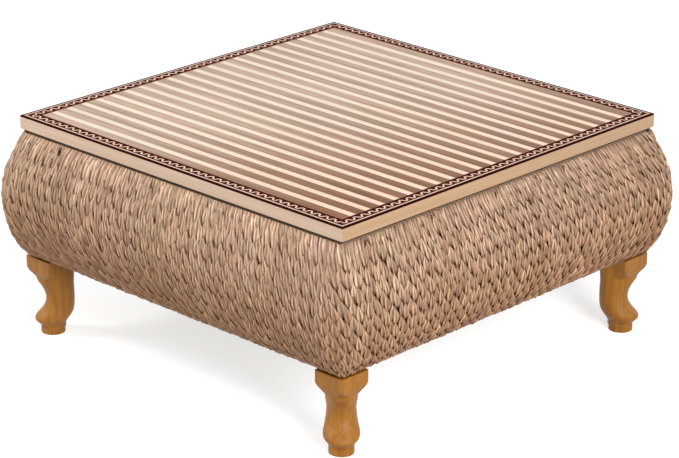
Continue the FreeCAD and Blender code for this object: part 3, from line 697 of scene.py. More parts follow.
# The rim's outer edge is painted dark: painted shade for the seam under the lid
RIM_WOOD = WoodFinish(
    "rim_wood", srgb(222, 190, 156), srgb(204, 170, 136), 0.004, 0.16, 0.12, 0.8, 0.5,
    stain_reach=0.2950,
)
LEG_WOOD = WoodFinish(
    "leg_wood", srgb(188, 124, 32), srgb(154, 94, 18), 0.007, 0.1, 0.12, 0.8, 0.5, 0.06
)
FRAME_WOOD = WoodFinish(
    "frame_wood", srgb(206, 174, 130), srgb(176, 140, 98), 0.007, 0.2, 0.2, 0.9, 0.6
)
PLYWOOD = WoodFinish(
    "plywood", srgb(216, 190, 152), srgb(192, 160, 120), 0.016, 0.3, 0.14, 0.8, 0.55
)
HUSK = HuskFinish()
LIGHT_BAMBOO = BambooFinish(
    "light_bamboo", srgb(255, 236, 222), srgb(255, 238, 218), srgb(248, 218, 194), 0.03,
    (1.0, 0.90, 0.83),
)
DARK_BAMBOO = BambooFinish(
    "dark_bamboo", srgb(220, 184, 166), srgb(196, 172, 142), srgb(148, 114, 88), 0.08,
    (0.46, 0.29, 0.18),
)
BROCADE = BrocadeFinish()
BACKING = ClothFinish("backing_cloth", srgb(70, 46, 34))
# A dark sheet behind the husks: painted shade for the gaps between them
WEAVE_SHADE = ClothFinish("weave_shade", srgb(84, 50, 28), 0.003)
CORE_CORD = ClothFinish("core_cord", srgb(132, 86, 54), 0.001)
HINGE_BRASS = MetalFinish("hinge_brass", srgb(214, 176, 104), srgb(160, 122, 66), 0.22)
SCREW_STEEL = MetalFinish("screw_steel", srgb(206, 192, 160), srgb(150, 136, 110), 0.25)
PLAIN_STEEL = MetalFinish("plain_steel", srgb(176, 176, 178), srgb(120, 118, 116), 0.32)


# Making and handling pieces

def nothing_selected() -> None:
    """Leave edit mode and deselect every object."""
    if bpy.context.object is not None and bpy.context.object.mode != "OBJECT":
        bpy.ops.object.mode_set(mode="OBJECT")
    bpy.ops.object.select_all(action="DESELECT")


def only(piece: bpy.types.Object) -> None:
    """Make a piece the one selected and active object."""
    nothing_selected()
    piece.select_set(True)
    bpy.context.view_layer.objects.active = piece


def block(name: str, low: Point, high: Point) -> bpy.types.Object:
    """Add a board between two corners, its place in its mesh.

    Args:
        name: The piece's name.
        low: Its lowest corner.
        high: Its highest corner.

    Returns:
        The board.
    """
    nothing_selected()
    centre = [(a + b) / 2 for a, b in zip(low, high)]
    bpy.ops.mesh.primitive_cube_add(size=1.0, location=centre)
    made = bpy.context.object
    made.name = name
    made.data.name = name
    made.scale = [b - a for a, b in zip(low, high)]
    bpy.ops.object.transform_apply(location=True, rotation=True, scale=True)
    return made


def ease_edges(
    piece: bpy.types.Object, chosen: Callable[[Vector, Vector], bool], width: float, segments: int
) -> None:
    """Round some of a piece's edges.

    Args:
        piece: The piece.
        chosen: Says from an edge's two ends whether it is rounded.
        width: How far the rounding reaches.
        segments: How many faces it has.
    """
    only(piece)
    bpy.ops.object.mode_set(mode="EDIT")
    bpy.ops.mesh.select_mode(type="EDGE")
    mesh = bmesh.from_edit_mesh(piece.data)
    for edge in mesh.edges:
        edge.select_set(chosen(edge.verts[0].co, edge.verts[1].co))
    bmesh.update_edit_mesh(piece.data)
    bpy.ops.mesh.bevel(offset=width, segments=segments, affect="EDGES")
    bpy.ops.object.mode_set(mode="OBJECT")


def mitre(piece: bpy.types.Object, corner: Point, facing: Point) -> None:
    """Cut a piece at a plane and close the cut.

    Args:
        piece: The piece.
        corner: A point on the plane.
        facing: The plane's normal, towards what is cut away.
    """
    only(piece)
    bpy.ops.object.mode_set(mode="EDIT")
    bpy.ops.mesh.select_all(action="SELECT")
    bpy.ops.mesh.bisect(plane_co=corner, plane_no=facing, use_fill=True, clear_outer=True)
    bpy.ops.object.mode_set(mode="OBJECT")


def joined(pieces: Sequence[bpy.types.Object], name: str) -> bpy.types.Object:
    """Join pieces into one object.

    Args:
        pieces: The pieces.
        name: The name of what they become.

    Returns:
        The joined piece.
    """
    only(pieces[0])
    for piece in pieces[1:]:
        piece.select_set(True)
    bpy.ops.object.join()
    made = bpy.context.object
    made.name = name
    made.data.name = name
    return made


def smooth_by_angle(piece: bpy.types.Object, degrees: float) -> None:
    """Shade a piece smooth where its faces meet at a small angle."""
    only(piece)
    bpy.ops.object.shade_smooth_by_angle(angle=math.radians(degrees))


def dress(
    piece: bpy.types.Object,
    material: bpy.types.Material,
    rider: Rider,
    nodes: Sequence[str] = (),
) -> bpy.types.Object:
    """Give a new piece its material, its body and the nodes it stands for.

    Args:
        piece: The piece.
        material: Its finish.
        rider: The body that it moves with.
        nodes: The CAD nodes that it replaces.

    Returns:
        The piece.
    """
    piece.data.materials.clear()
    piece.data.materials.append(material)
    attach(piece, rider.value)
    if nodes:
        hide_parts(*nodes)
    LOG.info("%s: %d faces", piece.name, len(piece.data.polygons))
    return piece


def finish_node(name: str, material: bpy.types.Material) -> None:
    """Give a CAD node that shows its material."""
    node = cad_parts[name]
    if not node.material_slots:
        node.data.materials.append(material)
    for held in node.material_slots:
        held.material = material
    LOG.info("%s: finished with %s", name, material.name)


def mesh_piece(
    name: str, points: np.ndarray, faces: Sequence[Sequence[int]]
) -> bpy.types.Object:
    """Make an object from worked-out points and faces.

    Args:
        name: The piece's name.
        points: Points, one row each.
        faces: Point numbers of each face.

    Returns:
        The object, linked to the scene and shaded smooth.
    """
    mesh = bpy.data.meshes.new(name)
    mesh.from_pydata(points.tolist(), [], [list(face) for face in faces])
    mesh.polygons.foreach_set("use_smooth", [True] * len(mesh.polygons))
    mesh.update()
    made = bpy.data.objects.new(name, mesh)
    bpy.context.scene.collection.objects.link(made)
    return made


def tube_faces(first: int, rings: int, sides: int, closed: bool = False) -> list[list[int]]:
    """List the faces of a tube whose rings of points follow each other.

    Args:
        first: Number of its first point.
        rings: How many rings it has.
        sides: How many points each ring has.
        closed: True where the last ring joins the first; otherwise both ends are capped.

    Returns:
        The faces.
    """
    faces = []
    for ring in range(rings if closed else rings - 1):
        here = first + ring * sides
        there = first + ((ring + 1) % rings) * sides
        for side in range(sides):
            after = (side + 1) % sides
            faces.append([here + side, here + after, there + after, there + side])
    if not closed:
        last = first + (rings - 1) * sides
        faces.append([first + side for side in reversed(range(sides))])
        faces.append([last + side for side in range(sides)])
    return faces


# Woven body

# Outline from the bottom edge to the top edge: share of the height, share of the bulge
BULGE_SHARES = (
    (0.000, 0.00),
    (0.106, 0.45),
    (0.213, 0.72),
    (0.353, 0.93),
    (0.499, 1.00),
    (0.639, 0.91),
    (0.751, 0.73),
    (0.840, 0.49),
    (0.919, 0.25),
    (1.000, 0.00),
)

# Husks of even columns rise steeply from under a wire, over the next one close below, and
# sink slowly; those of odd columns rise slowly and dive at the end. Rows from the tip down:
# distance from it, how far out the husk lies, width, place in the lean, crown, tone. The tone
# is painted light: a painted highlight near the tip and painted shade towards the tucked end
STEEP_HUSK = (
    (0.0000, 0.50, 0.0012, -0.50, 0.6, 1.10),
    (0.0016, 0.84, 0.0026, -0.50, 1.2, 1.22),
    (0.0038, 1.04, 0.0052, -0.46, 1.4, 1.18),
    (0.0066, 1.04, 0.0088, -0.34, 1.2, 1.08),
    (0.0094, 0.94, 0.0124, -0.14, 1.0, 1.00),
    (0.0128, 0.82, 0.0134, 0.10, 0.9, 0.97),
    (0.0166, 0.68, 0.0132, 0.28, 0.8, 0.93),
    (0.0206, 0.50, 0.0114, 0.40, 0.7, 0.72),
    (0.0250, 0.20, 0.0058, 0.48, 0.6, 0.32),
)
SLOW_HUSK = (
    (0.0000, 0.42, 0.0012, -0.50, 0.6, 1.00),
    (0.0026, 0.66, 0.0032, -0.50, 1.1, 1.14),
    (0.0056, 0.82, 0.0062, -0.42, 1.3, 1.12),
    (0.0090, 0.92, 0.0096, -0.24, 1.2, 1.05),
    (0.0124, 0.96, 0.0128, 0.00, 1.0, 1.00),
    (0.0158, 0.94, 0.0136, 0.20, 0.9, 0.98),
    (0.0194, 0.80, 0.0134, 0.36, 0.8, 0.93),
    (0.0228, 0.54, 0.0106, 0.45, 0.7, 0.68),
    (0.0260, 0.18, 0.0054, 0.50, 0.6, 0.30),
)

# A husk's section: place across it as a share of its half width, height as a share of
# its crown, how far creases move it, and its tone, which is painted light: a painted highlight
# on the left ridge and painted shade in the groove, at the right edge and underneath
SECTION_SHARES = (
    (-1.00, 0.00, 0.5, 0.70),
    (-0.88, 0.66, 1.0, 1.27),
    (-0.66, 0.98, 1.0, 1.37),
    (-0.46, 0.70, 1.0, 1.00),
    (-0.26, 0.28, 1.0, 0.36),
    (-0.04, 0.64, 1.0, 1.06),
    (0.20, 0.80, 1.0, 1.18),
    (0.56, 0.34, 1.0, 0.84),
    (1.00, -0.50, 0.5, 0.26),
    (0.55, -0.90, 0.0, 0.60),
    (-0.55, -0.70, 0.0, 0.60),
)

# Husk colours from common to rare, and how common each is
HUSK_COLOURS = (
    srgb(208, 170, 141),
    srgb(206, 166, 139),
    srgb(203, 168, 138),
    srgb(217, 183, 154),
    srgb(190, 149, 119),
)
HUSK_COLOUR_SHARES = (0.44, 0.20, 0.14, 0.12, 0.10)

# Painted shade turns brown: powers of the painted shade for red, green and blue
SHADE_POWERS = np.array([0.90, 1.08, 1.30])


def through(points: Sequence[tuple[float, float]], places: np.ndarray) -> np.ndarray:
    """Read a smooth curve through points.

    Args:
        points: Places and values of the curve, in order of place.
        places: Where it is read.

    Returns:
        Its values there.
    """
    knots = np.array([place for place, _ in points])
    values = np.array([value for _, value in points])
    slopes = np.gradient(values, knots)
    step = np.clip(np.searchsorted(knots, places, side="right") - 1, 0, len(knots) - 2)
    span = knots[step + 1] - knots[step]
    share = (places - knots[step]) / span
    return (
        (2 * share**3 - 3 * share**2 + 1) * values[step]
        + (share**3 - 2 * share**2 + share) * span * slopes[step]
        + (3 * share**2 - 2 * share**3) * values[step + 1]
        + (share**3 - share**2) * span * slopes[step + 1]
    )


@dataclass
class WovenSkin:
    """Flattened husks laid over level wires in upright columns, over the bulging body.

    Attributes:
        columns: How many columns of husks go round the body.
        edge_half: Half the side at the top and bottom edges.
        edge_radius: Corner radius there.
        belly_radius: Corner radius where the skin is widest.
        period: Distance from one husk's tip to the next in a column.
        first_tips: Distances from the rim to the first tip of even and odd columns.
        out_inset: Depth of a husk's middle where it lies over a wire.
        tuck_inset: Depth of a husk's middle where it goes under a wire.
        rim_widths: Widths of the husks of even and odd columns under the rim.
        rim_reach: How far from its hidden tip a rim husk stays wide and flat.
        long_shares: Shares of even and odd columns whose rim husk hides their first tip.
        crown: Height of a husk's rounded face at its widest.
        crease: Height or depth of a husk's folds.
        lean: How far a husk leans sideways from end to end.
        sway: How much that differs from husk to husk.
        wander: How far a husk may lie from its place along the column.
        aside: How far it may lie from its place sideways.
        lift: How far it may lie below and above its height.
        edge_clearance: How far husks stay from what lies above and below.
        rim_gap: Where below the rim a husk's first full section may lie.
        end_gap: Distance of the last full section from the bottom edge.
        shortest: Length of the shortest husk at the bottom edge.
        low_calm: How much evener the husks lie at the bottom edge.
        calm_height: Height over which they grow even.
        calm_out: How far out they then lie.
        wire_radius: Half the thickness of a wire.
        wire_inset: Depth of the wires' middle.
        layer_inset: Depth of the dark layer behind the husks, a sheet of painted shade for the gaps.
        layer_depth: Thickness of that layer.
        steps_around: How many steps the wires and the layer take round the body.
        strand_shift: Distance between the patterns of two neighbouring columns.
        seed: Seed of the husks' unevenness.
    """

    columns: int = 324
    edge_half: float = 0.300
    edge_radius: float = 0.008
    belly_radius: float = 0.050
    period: float = 0.0213
    first_tips: tuple[float, float] = (0.0052, 0.0112)
    out_inset: float = 0.0026
    tuck_inset: float = 0.0054
    rim_widths: tuple[float, float] = (0.0112, 0.0118)
    rim_reach: float = 0.010
    long_shares: tuple[float, float] = (0.90, 0.40)
    crown: float = 0.0015
    crease: float = 0.0006
    lean: float = 0.0038
    sway: float = 0.0020
    wander: float = 0.0015
    aside: float = 0.0009
    lift: tuple[float, float] = (-0.0005, 0.0003)
    edge_clearance: float = 0.0002
    rim_gap: float = 0.002
    end_gap: float = 0.0006
    shortest: float = 0.006
    low_calm: float = 0.45
    calm_height: float = 0.03
    calm_out: float = 0.85
    wire_radius: float = 0.0009
    wire_inset: float = 0.0042
    layer_inset: float = 0.0064
    layer_depth: float = 0.0005
    steps_around: int = 96
    strand_shift: float = 0.021
    seed: int = 11

    def __post_init__(self) -> None:
        """Work out the skin's outline from the frame."""
        low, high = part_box("woven_shell")
        self.low, self.high = low.z, high.z
        self.bulge = high.x - self.edge_half
        levels = np.linspace(self.high, self.low, 500)
        shares = through(BULGE_SHARES, (levels - self.low) / (self.high - self.low))
        reach = self.edge_half + self.bulge * shares
        radius = self.edge_radius + (self.belly_radius - self.edge_radius) * shares
        steps = np.hypot(np.diff(levels), np.diff(reach))
        self.path = np.concatenate([[0.0], np.cumsum(steps)])
        self.levels, self.reach, self.radius = levels, reach, radius
        self.flare = np.gradient(reach, self.path)
        self.drop = np.gradient(levels, self.path)
        self.length = float(self.path[-1])

    def surface(self, turn: np.ndarray, down: np.ndarray) -> tuple[np.ndarray, np.ndarray, np.ndarray]:
        """Find places on the skin's outer face.

        Args:
            turn: Shares of the way round, from the front's middle towards +X.
            down: Distances along the skin from its top edge.

        Returns:
            Points, outward normals and sideways directions, one row each.
        """
        reach = np.interp(down, self.path, self.reach)
        radius = np.interp(down, self.path, self.radius)
        level = np.interp(down, self.path, self.levels)
        flare = np.interp(down, self.path, self.flare)
        drop = np.interp(down, self.path, self.drop)
        quarter = np.floor(turn * 4 + 0.5)
        flat = reach - radius
        bend = radius * math.pi / 2
        along = (turn * 4 - quarter) * (2 * flat + bend)
        sign = np.sign(along)
        past = np.clip(np.abs(along) - flat, 0, None) / radius
        straight = np.minimum(np.abs(along), flat)
        x = sign * (straight + radius * np.sin(past))
        y = -(flat + radius * np.cos(past))
        face = quarter * math.pi / 2
        points = np.stack(
            [x * np.cos(face) - y * np.sin(face), x * np.sin(face) + y * np.cos(face), level], 1
        )
        heading = face + sign * past
        out = np.stack([np.sin(heading), -np.cos(heading)], 1)
        normals = np.concatenate([out * -drop[:, None], flare[:, None]], 1)
        sideways = np.stack([-out[:, 1], out[:, 0], np.zeros(len(turn))], 1)
        return points, normals, sideways

    def _rings(self, odd: bool, long: bool) -> np.ndarray:
        """List where the sections of a column's husks lie.

        Args:
            odd: True for the columns whose husks lie over the other wires.
            long: True where the rim husk hides the column's first tip.

        Returns:
            Rows of distance from the rim, outwardness, width, place in the lean, crown,
            tone, which is painted highlight and shade, and number of the husk.
        """
        shape = SLOW_HUSK if odd else STEEP_HUSK
        tip = self.first_tips[int(odd)] + (self.period if long else 0.0)
        rim_width = self.rim_widths[int(odd)]
        last = self.length - self.end_gap
        rows = [(0.0, 1.0, rim_width, -0.45, 0.5, 1.0, 0)]
        for distance, out, width, side, crown, tone in shape:
            place = tip - self.period + distance
            if place > self.rim_gap:
                if distance < self.rim_reach:
                    out, width = 1.0, max(width, rim_width)
                rows.append((place, out, width, side, crown, tone, 0))
        husk = 1
        while tip < self.length - self.shortest:
            for distance, out, width, side, crown, tone in shape:
                if tip + distance < last:
                    rows.append((tip + distance, out, width, side, crown, tone, husk))
            if tip + shape[-1][0] > last:
                # The last husk, cut short at the bottom edge, gets a darker tone as painted shade
                rows.append((last + self.end_gap / 2, 0.3, *rows[-1][2:4], 0.7, 0.8, husk))
            tip += self.period
            husk += 1
        return np.array(rows)

    def _colours(self, rng: np.random.Generator, husks: int) -> np.ndarray:
        """Choose a colour for each husk of one column."""
        palette = np.array(HUSK_COLOURS)
        kinds = rng.choice(len(palette), size=husks, p=HUSK_COLOUR_SHARES)
        own = rng.choice(len(palette), p=HUSK_COLOUR_SHARES)
        colours = palette[kinds] * 0.4 + palette[own] * 0.6
        return colours * rng.uniform(0.90, 1.08, size=(husks, 1))

    def _creases(self, rings: np.ndarray, husk: np.ndarray, rng: np.random.Generator) -> np.ndarray:
        """Work out how far folds and a slight roll move each point of a column's husks.

        Args:
            rings: Where the sections lie.
            husk: Number of the husk of each section.
            rng: The source of the unevenness.

        Returns:
            Heights, one row for each section.
        """
        sections = np.array(SECTION_SHARES)
        husks = int(husk.max()) + 1
        progress = rings[:, 3][:, None]
        across = sections[None, :, 0]
        heights = rng.uniform(-0.3, 0.3, husks)[husk][:, None] * across * self.crown
        for _ in range(3):
            place = rng.uniform(-0.9, 0.9, husks)[husk][:, None]
            drift = rng.uniform(-0.8, 0.8, husks)[husk][:, None]
            height = rng.uniform(-1.0, 1.0, husks)[husk][:, None] * self.crease
            ridge = 1 - np.abs(across - place - drift * progress) / 0.34
            heights = heights + height * np.clip(ridge, 0, None)
        return heights * sections[None, :, 2]

    def _column(
        self, number: int, rings: np.ndarray, rng: np.random.Generator
    ) -> tuple[np.ndarray, np.ndarray, np.ndarray, np.ndarray]:
        """Work out one column of husks.

        Args:
            number: Its number round the body.
            rings: Where its husks' sections lie.
            rng: The source of its unevenness.

        Returns:
            Its points, their colours with painted highlight and shade, their places across
            and along it, and how many sections each husk has.
        """
        sections = np.array(SECTION_SHARES)
        count, sides = len(rings), len(sections)
        husk = rings[:, 6].astype(int)
        husks = int(husk.max()) + 1
        wander = rng.uniform(-self.wander, self.wander, husks)[husk]
        aside = rng.uniform(-self.aside, self.aside, husks)[husk]
        slope = self.lean + rng.uniform(-0.5, 0.5, husks)[husk] * self.sway
        girth = (rng.uniform(0.92, 1.08) * rng.uniform(0.86, 1.14, husks))[husk]
        lift = rng.uniform(*self.lift, husks)[husk]
        folds = self._creases(rings, husk, rng)
        end = self.length - self.edge_clearance
        inside = (rings[:, 0] > self.rim_gap) & (rings[:, 0] < end - self.end_gap)
        down = np.clip(rings[:, 0] + wander * inside, 0, end)
        turn = np.full(count, (number + 0.5) / self.columns)
        points, normals, sideways = self.surface(turn, down)
        width = rings[:, 2] * girth
        calm = self.low_calm * np.clip((down - self.length) / self.calm_height + 1, 0, 1)
        out = rings[:, 1] * (1 - calm) + self.calm_out * calm
        inset = self.tuck_inset + (self.out_inset - self.tuck_inset) * out - lift * (out > 0.5)
        crown = self.crown * rings[:, 4] * (1 - calm)
        side = aside + slope * rings[:, 3]
        across = sections[None, :, 0] * width[:, None] / 2
        height = sections[None, :, 1] * crown[:, None] + folds - inset[:, None]
        height = np.minimum(height, -self.edge_clearance)
        made = (
            points[:, None, :]
            + sideways[:, None, :] * (side[:, None] + across)[:, :, None]
            + normals[:, None, :] * height[:, :, None]
        )
        made[:, :, 2] = np.clip(
            made[:, :, 2], self.low + self.edge_clearance, self.high - self.edge_clearance
        )
        # Painted shade where a husk sinks under a wire, times the painted highlight and shade of its
        # rows and section
        shade = rings[:, 5] * (0.55 + 0.45 * np.clip(rings[:, 1] * 1.5, 0, 1))
        shade = shade[:, None] * sections[None, :, 3]
        colours = self._colours(rng, husks)[husk][:, None, :] * shade[:, :, None] ** SHADE_POWERS
        strand = (number + husk * 3.7)[:, None] * self.strand_shift
        across_strand = np.broadcast_to(sections[:, 0] * 0.005, (count, sides)) + strand
        along_strand = np.broadcast_to(rings[:, None, 0], (count, sides))
        place = np.stack([across_strand, along_strand], 2)
        return made.reshape(-1, 3), colours.reshape(-1, 3), place.reshape(-1, 2), np.bincount(husk)

    def _side_piece(self, side: Side, columns: dict[int, tuple]) -> bpy.types.Object:
        """Join one side's columns into a piece."""
        sides = len(SECTION_SHARES)
        points, colours, places, faces, first = [], [], [], [], 0
        for number in sorted(columns):
            made, colour, place, counts = columns[number]
            points.append(made)
            colours.append(colour)
            places.append(place)
            for rings in counts:
                faces += tube_faces(first, int(rings), sides)
                first += int(rings) * sides
        piece = mesh_piece(f"weave_{side.word}", np.concatenate(points), faces)
        mesh = piece.data
        rgba = np.concatenate([np.concatenate(colours), np.ones((first, 1))], 1)
        husk = mesh.attributes.new("husk", "FLOAT_COLOR", "POINT")
        husk.data.foreach_set("color", rgba.ravel())
        corners = np.zeros(len(mesh.loops), dtype=np.int64)
        mesh.loops.foreach_get("vertex_index", corners)
        uv = mesh.uv_layers.new(name="strand")
        uv.data.foreach_set("uv", np.concatenate(places)[corners].ravel())
        return piece

    def _layer(self, name: str) -> bpy.types.Object:
        """Make the thin dark layer behind the weave, a sheet of painted shade for the gaps between
        husks.
        """
        face = np.linspace(0.001, self.length - 0.001, 25)
        downs = np.concatenate([face, face[::-1]])
        deep = np.repeat([self.layer_inset, self.layer_inset + self.layer_depth], len(face))
        points = []
        for step in range(self.steps_around):
            turn = np.full(len(downs), step / self.steps_around)
            places, normals, _ = self.surface(turn, downs)
            points.append(places - normals * deep[:, None])
        faces = tube_faces(0, self.steps_around, len(downs), closed=True)
        return mesh_piece(name, np.concatenate(points), faces)

    def _wires(self, name: str) -> bpy.types.Object:
        """Make the level wires that the husks go over and under."""
        sides = 6
        angles = np.arange(sides) * FULL_TURN / sides
        circle = self.wire_radius * np.stack([np.cos(angles), np.sin(angles)], 1)
        upwards = np.array([0.0, 0.0, 1.0])
        rows = [tip + step * self.period for step in range(9) for tip in self.first_tips]
        turns = np.arange(self.steps_around) / self.steps_around
        points, faces = [], []
        for down in rows:
            if down > self.length - 0.002:
                continue
            places, normals, _ = self.surface(turns, np.full(len(turns), down))
            centres = places - normals * self.wire_inset
            faces += tube_faces(sum(map(len, points)), len(turns), sides, closed=True)
            for centre, normal in zip(centres, normals):
                points.append(centre + circle[:, :1] * normal + circle[:, 1:] * upwards)
        return mesh_piece(name, np.concatenate(points), faces)

    def build(self) -> None:
        """Make the four sides of the weave, the wires and the sheet of painted shade behind them."""
        rng = np.random.default_rng(self.seed)
        rings = {(odd, long): self._rings(odd, long) for odd in (False, True) for long in (False, True)}
        per_side: dict[Side, dict[int, tuple]] = {side: {} for side in Side}
        for number in range(self.columns):
            odd = number % 2 == 1
            long = bool(rng.uniform() < self.long_shares[int(odd)])
            made = self._column(number, rings[odd, long], rng)
            turn = (number + 0.5) / self.columns
            per_side[Side(int(turn * 4 + 0.5) % 4)][number] = made
        for side, columns in per_side.items():
            piece = self._side_piece(side, columns)
            dress(piece, HUSK.material(), Rider.BODY, ["woven_shell"])
        # The dark layer is painted shade behind the gaps between husks
        layer = self._layer("weave_backing")
        dress(layer, WEAVE_SHADE.material(), Rider.BODY, ["woven_shell"])
        wires = self._wires("weave_wires")
        dress(wires, CORE_CORD.material(), Rider.BODY, ["woven_shell"])



# Lid

@dataclass
class BambooMat:
    """Light and dark bamboo slats in turn, glued to a cloth.

    Attributes:
        light_width: Width of a light slat.
        light_count: How many light slats there are.
        gap: Gap between slats.
        rounding: Rounding of a slat's long edges.
        seed: Seed of the slats' tones.
    """

    light_width: float = 0.0094
    light_count: int = 21
    gap: float = 0.0006
    rounding: float = 0.0004
    seed: int = 5

    def _slat(self, name: str, low: Point, high: Point, tone: float) -> bpy.types.Object:
        """Make one slat with rounded long edges and its own tone."""
        slat = block(name, low, high)
        top = high[2] - LEVEL
        ease_edges(slat, lambda a, b: a.z > top and b.z > top, self.rounding, 2)
        values = slat.data.attributes.new("tone", "FLOAT", "POINT")
        values.data.foreach_set("value", [tone] * len(slat.data.vertices))
        return slat

    def build(self) -> None:
        """Make both sets of slats over their nodes."""
        rng = np.random.default_rng(self.seed)
        low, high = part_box("mat_dark_slats")
        taken = self.light_count * (self.light_width + 2 * self.gap)
        dark_width = (high.y - low.y - taken) / (self.light_count + 1)
        pitch = dark_width + self.light_width + 2 * self.gap
        kinds = (
            ("dark", low.y, dark_width, self.light_count + 1, DARK_BAMBOO),
            ("light", low.y + dark_width + self.gap, self.light_width, self.light_count, LIGHT_BAMBOO),
        )
        for kind, start, width, count, finish in kinds:
            slats = []
            for step in range(count):
                near = start + step * pitch
                drop = rng.uniform(0.0, 0.00012)
                slat = self._slat(
                    f"{kind}_slat_{step}",
                    (low.x, near, low.z),
                    (high.x, near + width, high.z - drop),
                    float(rng.uniform(-1, 1)),
                )
                slats.append(slat)
            piece = joined(slats, f"{kind}_slats")
            smooth_by_angle(piece, 40)
            dress(piece, finish.material(), Rider.LID, [f"mat_{kind}_slats"])
        finish_node("mat_backing", BACKING.material())


@dataclass
class RibbonBorder:
    """Mitred brocade ribbon round the mat.

    Attributes:
        width: The ribbon's width.
        rounding: Rounding of its folded long edges.
    """

    width: float = 0.0216
    rounding: float = 0.0006

    def _strip(self, side: Side) -> bpy.types.Object:
        """Make one side's ribbon, made at the front and turned to its side."""
        low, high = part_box("ribbon_front")
        strip = block(f"brocade_{side.word}", low, high)
        top = high.z - LEVEL
        ease_edges(
            strip, lambda a, b: a.z > top and b.z > top and abs(a.y - b.y) < LEVEL, self.rounding, 3
        )
        for end in (-1, 1):
            corner = (end * (high.x - self.width), high.y, high.z)
            mitre(strip, corner, (end * 1.0, 1.0, 0.0))
        uv = strip.data.uv_layers.active or strip.data.uv_layers.new()
        uv.name = "ribbon"
        for loop in strip.data.loops:
            place = strip.data.vertices[loop.vertex_index].co
            uv.data[loop.index].uv = (place.x - low.x, place.y - low.y)
        strip.data.transform(side.turn)
        return strip

    def build(self) -> None:
        """Make the four strips over their nodes."""
        for side in Side:
            strip = self._strip(side)
            smooth_by_angle(strip, 40)
            dress(strip, BROCADE.material(), Rider.LID, [f"ribbon_{side.word}"])


@dataclass
class LidBoard:
    """The lid's board and its mitred edge mouldings."""

    def build(self) -> None:
        """Finish the board and the mouldings."""
        finish_node("lid_panel", PLYWOOD.material(Axis.X))
        for side in Side:
            # The left and right edges take the tan copy, darker as painted shade
            wood = PINK_WOOD if side.grain == Axis.X else TAN_SHADED_WOOD
            finish_node(f"lid_edge_{side.word}", wood.material(side.grain))


# Body

@dataclass
class Carcass:
    """Rim, storage box, base frame, ribs and hoop."""

    def build(self) -> None:
        """Finish each member with its grain along its length."""
        for side in Side:
            finish_node(f"rim_rail_{side.word}", RIM_WOOD.material(side.grain))
            finish_node(f"box_wall_{side.word}", PLYWOOD.material(side.grain))
            finish_node(f"base_rail_{side.word}", FRAME_WOOD.material(side.grain))
            for order in (1, 2):
                finish_node(f"rib_{side.word}_{order}", FRAME_WOOD.material(Axis.Z))
        finish_node("box_floor", PLYWOOD.material(Axis.X))
        finish_node("waist_hoop", PLAIN_STEEL.material())
        for corner in CORNERS:
            finish_node(f"corner_rib_{corner}", FRAME_WOOD.material(Axis.Z))


@dataclass
class Legs:
    """The four carved legs and what holds them."""

    def build(self) -> None:
        """Finish the legs, their bolts and the inserts."""
        for corner in CORNERS:
            finish_node(f"leg_{corner}", LEG_WOOD.material(Axis.Z))
        finish_node("hanger_bolts", PLAIN_STEEL.material())
        finish_node("thread_inserts", PLAIN_STEEL.material())


@dataclass
class Hinges:
    """The two butt hinges and their screws."""

    def build(self) -> None:
        """Finish the leaves, pins and screws."""
        for end in ("left", "right"):
            for part in ("leaf_lid", "leaf_body", "pin"):
                finish_node(f"hinge_{part}_{end}", HINGE_BRASS.material())
        finish_node("hinge_screws_lid", SCREW_STEEL.material())
        finish_node("hinge_screws_body", SCREW_STEEL.material())


# Studio

IMAGE_WIDTH = 679
FOCAL_PIXELS = 2873.2
SENSOR_WIDTH = 36.0


@dataclass
class Lamp:
    """A soft square lamp aimed at the table.

    Attributes:
        name: The lamp's name.
        place: Where it hangs.
        size: Its side.
        power: Its power in watts.
    """

    name: str
    place: Point
    size: float
    power: float

    def hang(self, target: Point) -> None:
        """Add the lamp, facing a point."""
        nothing_selected()
        bpy.ops.object.light_add(type="AREA", location=self.place)
        lamp = bpy.context.object
        lamp.name = self.name
        lamp.data.shape = "SQUARE"
        lamp.data.size = self.size
        lamp.data.energy = self.power
        aim = Vector(target) - Vector(self.place)
        lamp.rotation_euler = aim.to_track_quat("-Z", "Y").to_euler()


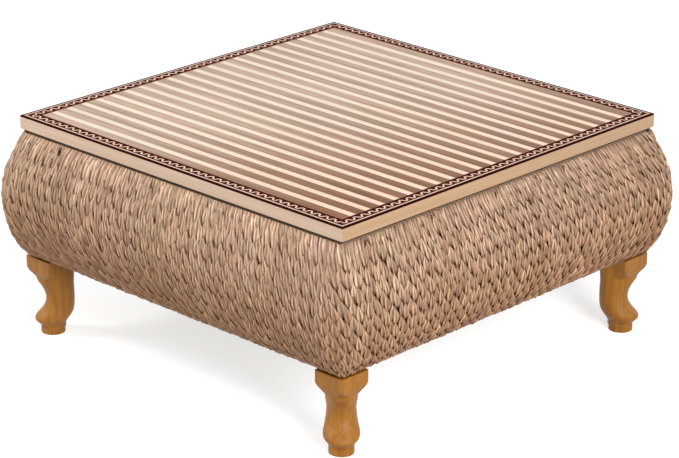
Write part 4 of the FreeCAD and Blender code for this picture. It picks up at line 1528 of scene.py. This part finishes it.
@dataclass
class Studio:
    """Camera, pale floor, soft lamps and a white world.

    Attributes:
        camera_place: The camera's place.
        azimuth: The way the camera faces, in degrees round the table.
        elevation: Its height above the horizon, in degrees.
        roll: Its tilt, in degrees.
        floor_side: The floor's side.
        floor_shade: How light the floor's colour is, 0 to 1.
        floor_glow: How much it glows to the camera, so that it looks white.
        ambient: Strength of the even light.
        target: What the lamps face.
    """

    camera_place: Point = (2.53873, -2.61027, 1.55008)
    azimuth: float = 44.16
    elevation: float = 21.06
    roll: float = 0.11
    floor_side: float = 16.0
    floor_shade: float = 0.6
    floor_glow: float = 0.66
    ambient: float = 0.42
    target: Point = (0.0, 0.0, 0.2)
    lamps: tuple[Lamp, ...] = (
        Lamp("key", (-2.4, -1.9, 2.55), 0.9, 68.0),
        Lamp("fill", (3.0, -1.1, 1.5), 1.1, 57.0),
        Lamp("back", (-0.8, 2.6, 2.4), 2.0, 14.0),
    )

    def _camera(self) -> None:
        """Put the camera at the photograph's viewing angle."""
        nothing_selected()
        bpy.ops.object.camera_add(location=self.camera_place)
        camera = bpy.context.object
        camera.data.sensor_width = SENSOR_WIDTH
        camera.data.lens = SENSOR_WIDTH * FOCAL_PIXELS / IMAGE_WIDTH
        camera.data.clip_start = 0.1
        camera.data.clip_end = 50.0
        turn, rise = math.radians(self.azimuth), math.radians(self.elevation)
        ahead = -Vector(
            (math.sin(turn) * math.cos(rise), -math.cos(turn) * math.cos(rise), math.sin(rise))
        )
        facing = ahead.to_track_quat("-Z", "Y")
        facing = facing @ Quaternion((0.0, 0.0, 1.0), math.radians(self.roll))
        camera.rotation_mode = "QUATERNION"
        camera.rotation_quaternion = facing
        bpy.context.scene.camera = camera

    def _floor(self) -> None:
        """Add the pale floor, which keeps the table's shadow."""
        nothing_selected()
        bpy.ops.mesh.primitive_plane_add(size=self.floor_side, location=(0.0, 0.0, 0.0))
        floor = bpy.context.object
        floor.name = "floor"
        shader = Shader("floor_paper")
        paper = (self.floor_shade,) * 3
        matte = shader.node("ShaderNodeBsdfDiffuse", sockets={"Color": paper, "Roughness": 1.0})
        strength = self._seen_directly(shader) * self.floor_glow
        glow = shader.node("ShaderNodeEmission", sockets={"Color": WHITE, "Strength": strength})
        shader.end(shader.node("ShaderNodeAddShader", sockets={0: matte, 1: glow}))
        floor.data.materials.append(shader.material)

    @staticmethod
    def _seen_directly(shader: Shader) -> Wire:
        """Return 1 for what the camera, a reflection or a clear piece sees."""
        path = shader.tree.nodes.new("ShaderNodeLightPath")
        seen, mirrored, passed = (
            Wire(shader, path.outputs[f"Is {kind} Ray"]) for kind in ("Camera", "Glossy", "Transmission")
        )
        return shader.maths("MAXIMUM", shader.maths("MAXIMUM", seen, mirrored), passed)

    def _world(self) -> None:
        """Make the world white to look at, and an even light."""
        shader = Shader("studio_world", world=True)
        level = self._seen_directly(shader) * (1 - self.ambient) + self.ambient
        sky = shader.node("ShaderNodeBackground", sockets={"Color": WHITE, "Strength": level})
        shader.end(sky, "ShaderNodeOutputWorld")
        bpy.context.scene.world = shader.material

    def build(self) -> None:
        """Set up the camera, floor, lamps and world."""
        bpy.context.scene.view_settings.view_transform = "Standard"
        self._camera()
        self._floor()
        self._world()
        for lamp in self.lamps:
            lamp.hang(self.target)
        LOG.info("studio ready")


def main() -> None:
    """Build each sub-assembly's looks in order."""
    logging.basicConfig(level=logging.INFO, format="%(name)s: %(message)s")
    Studio().build()
    WovenSkin().build()
    BambooMat().build()
    RibbonBorder().build()
    LidBoard().build()
    Carcass().build()
    Legs().build()
    Hinges().build()
    nothing_selected()


if __name__ == "__main__":
    main()
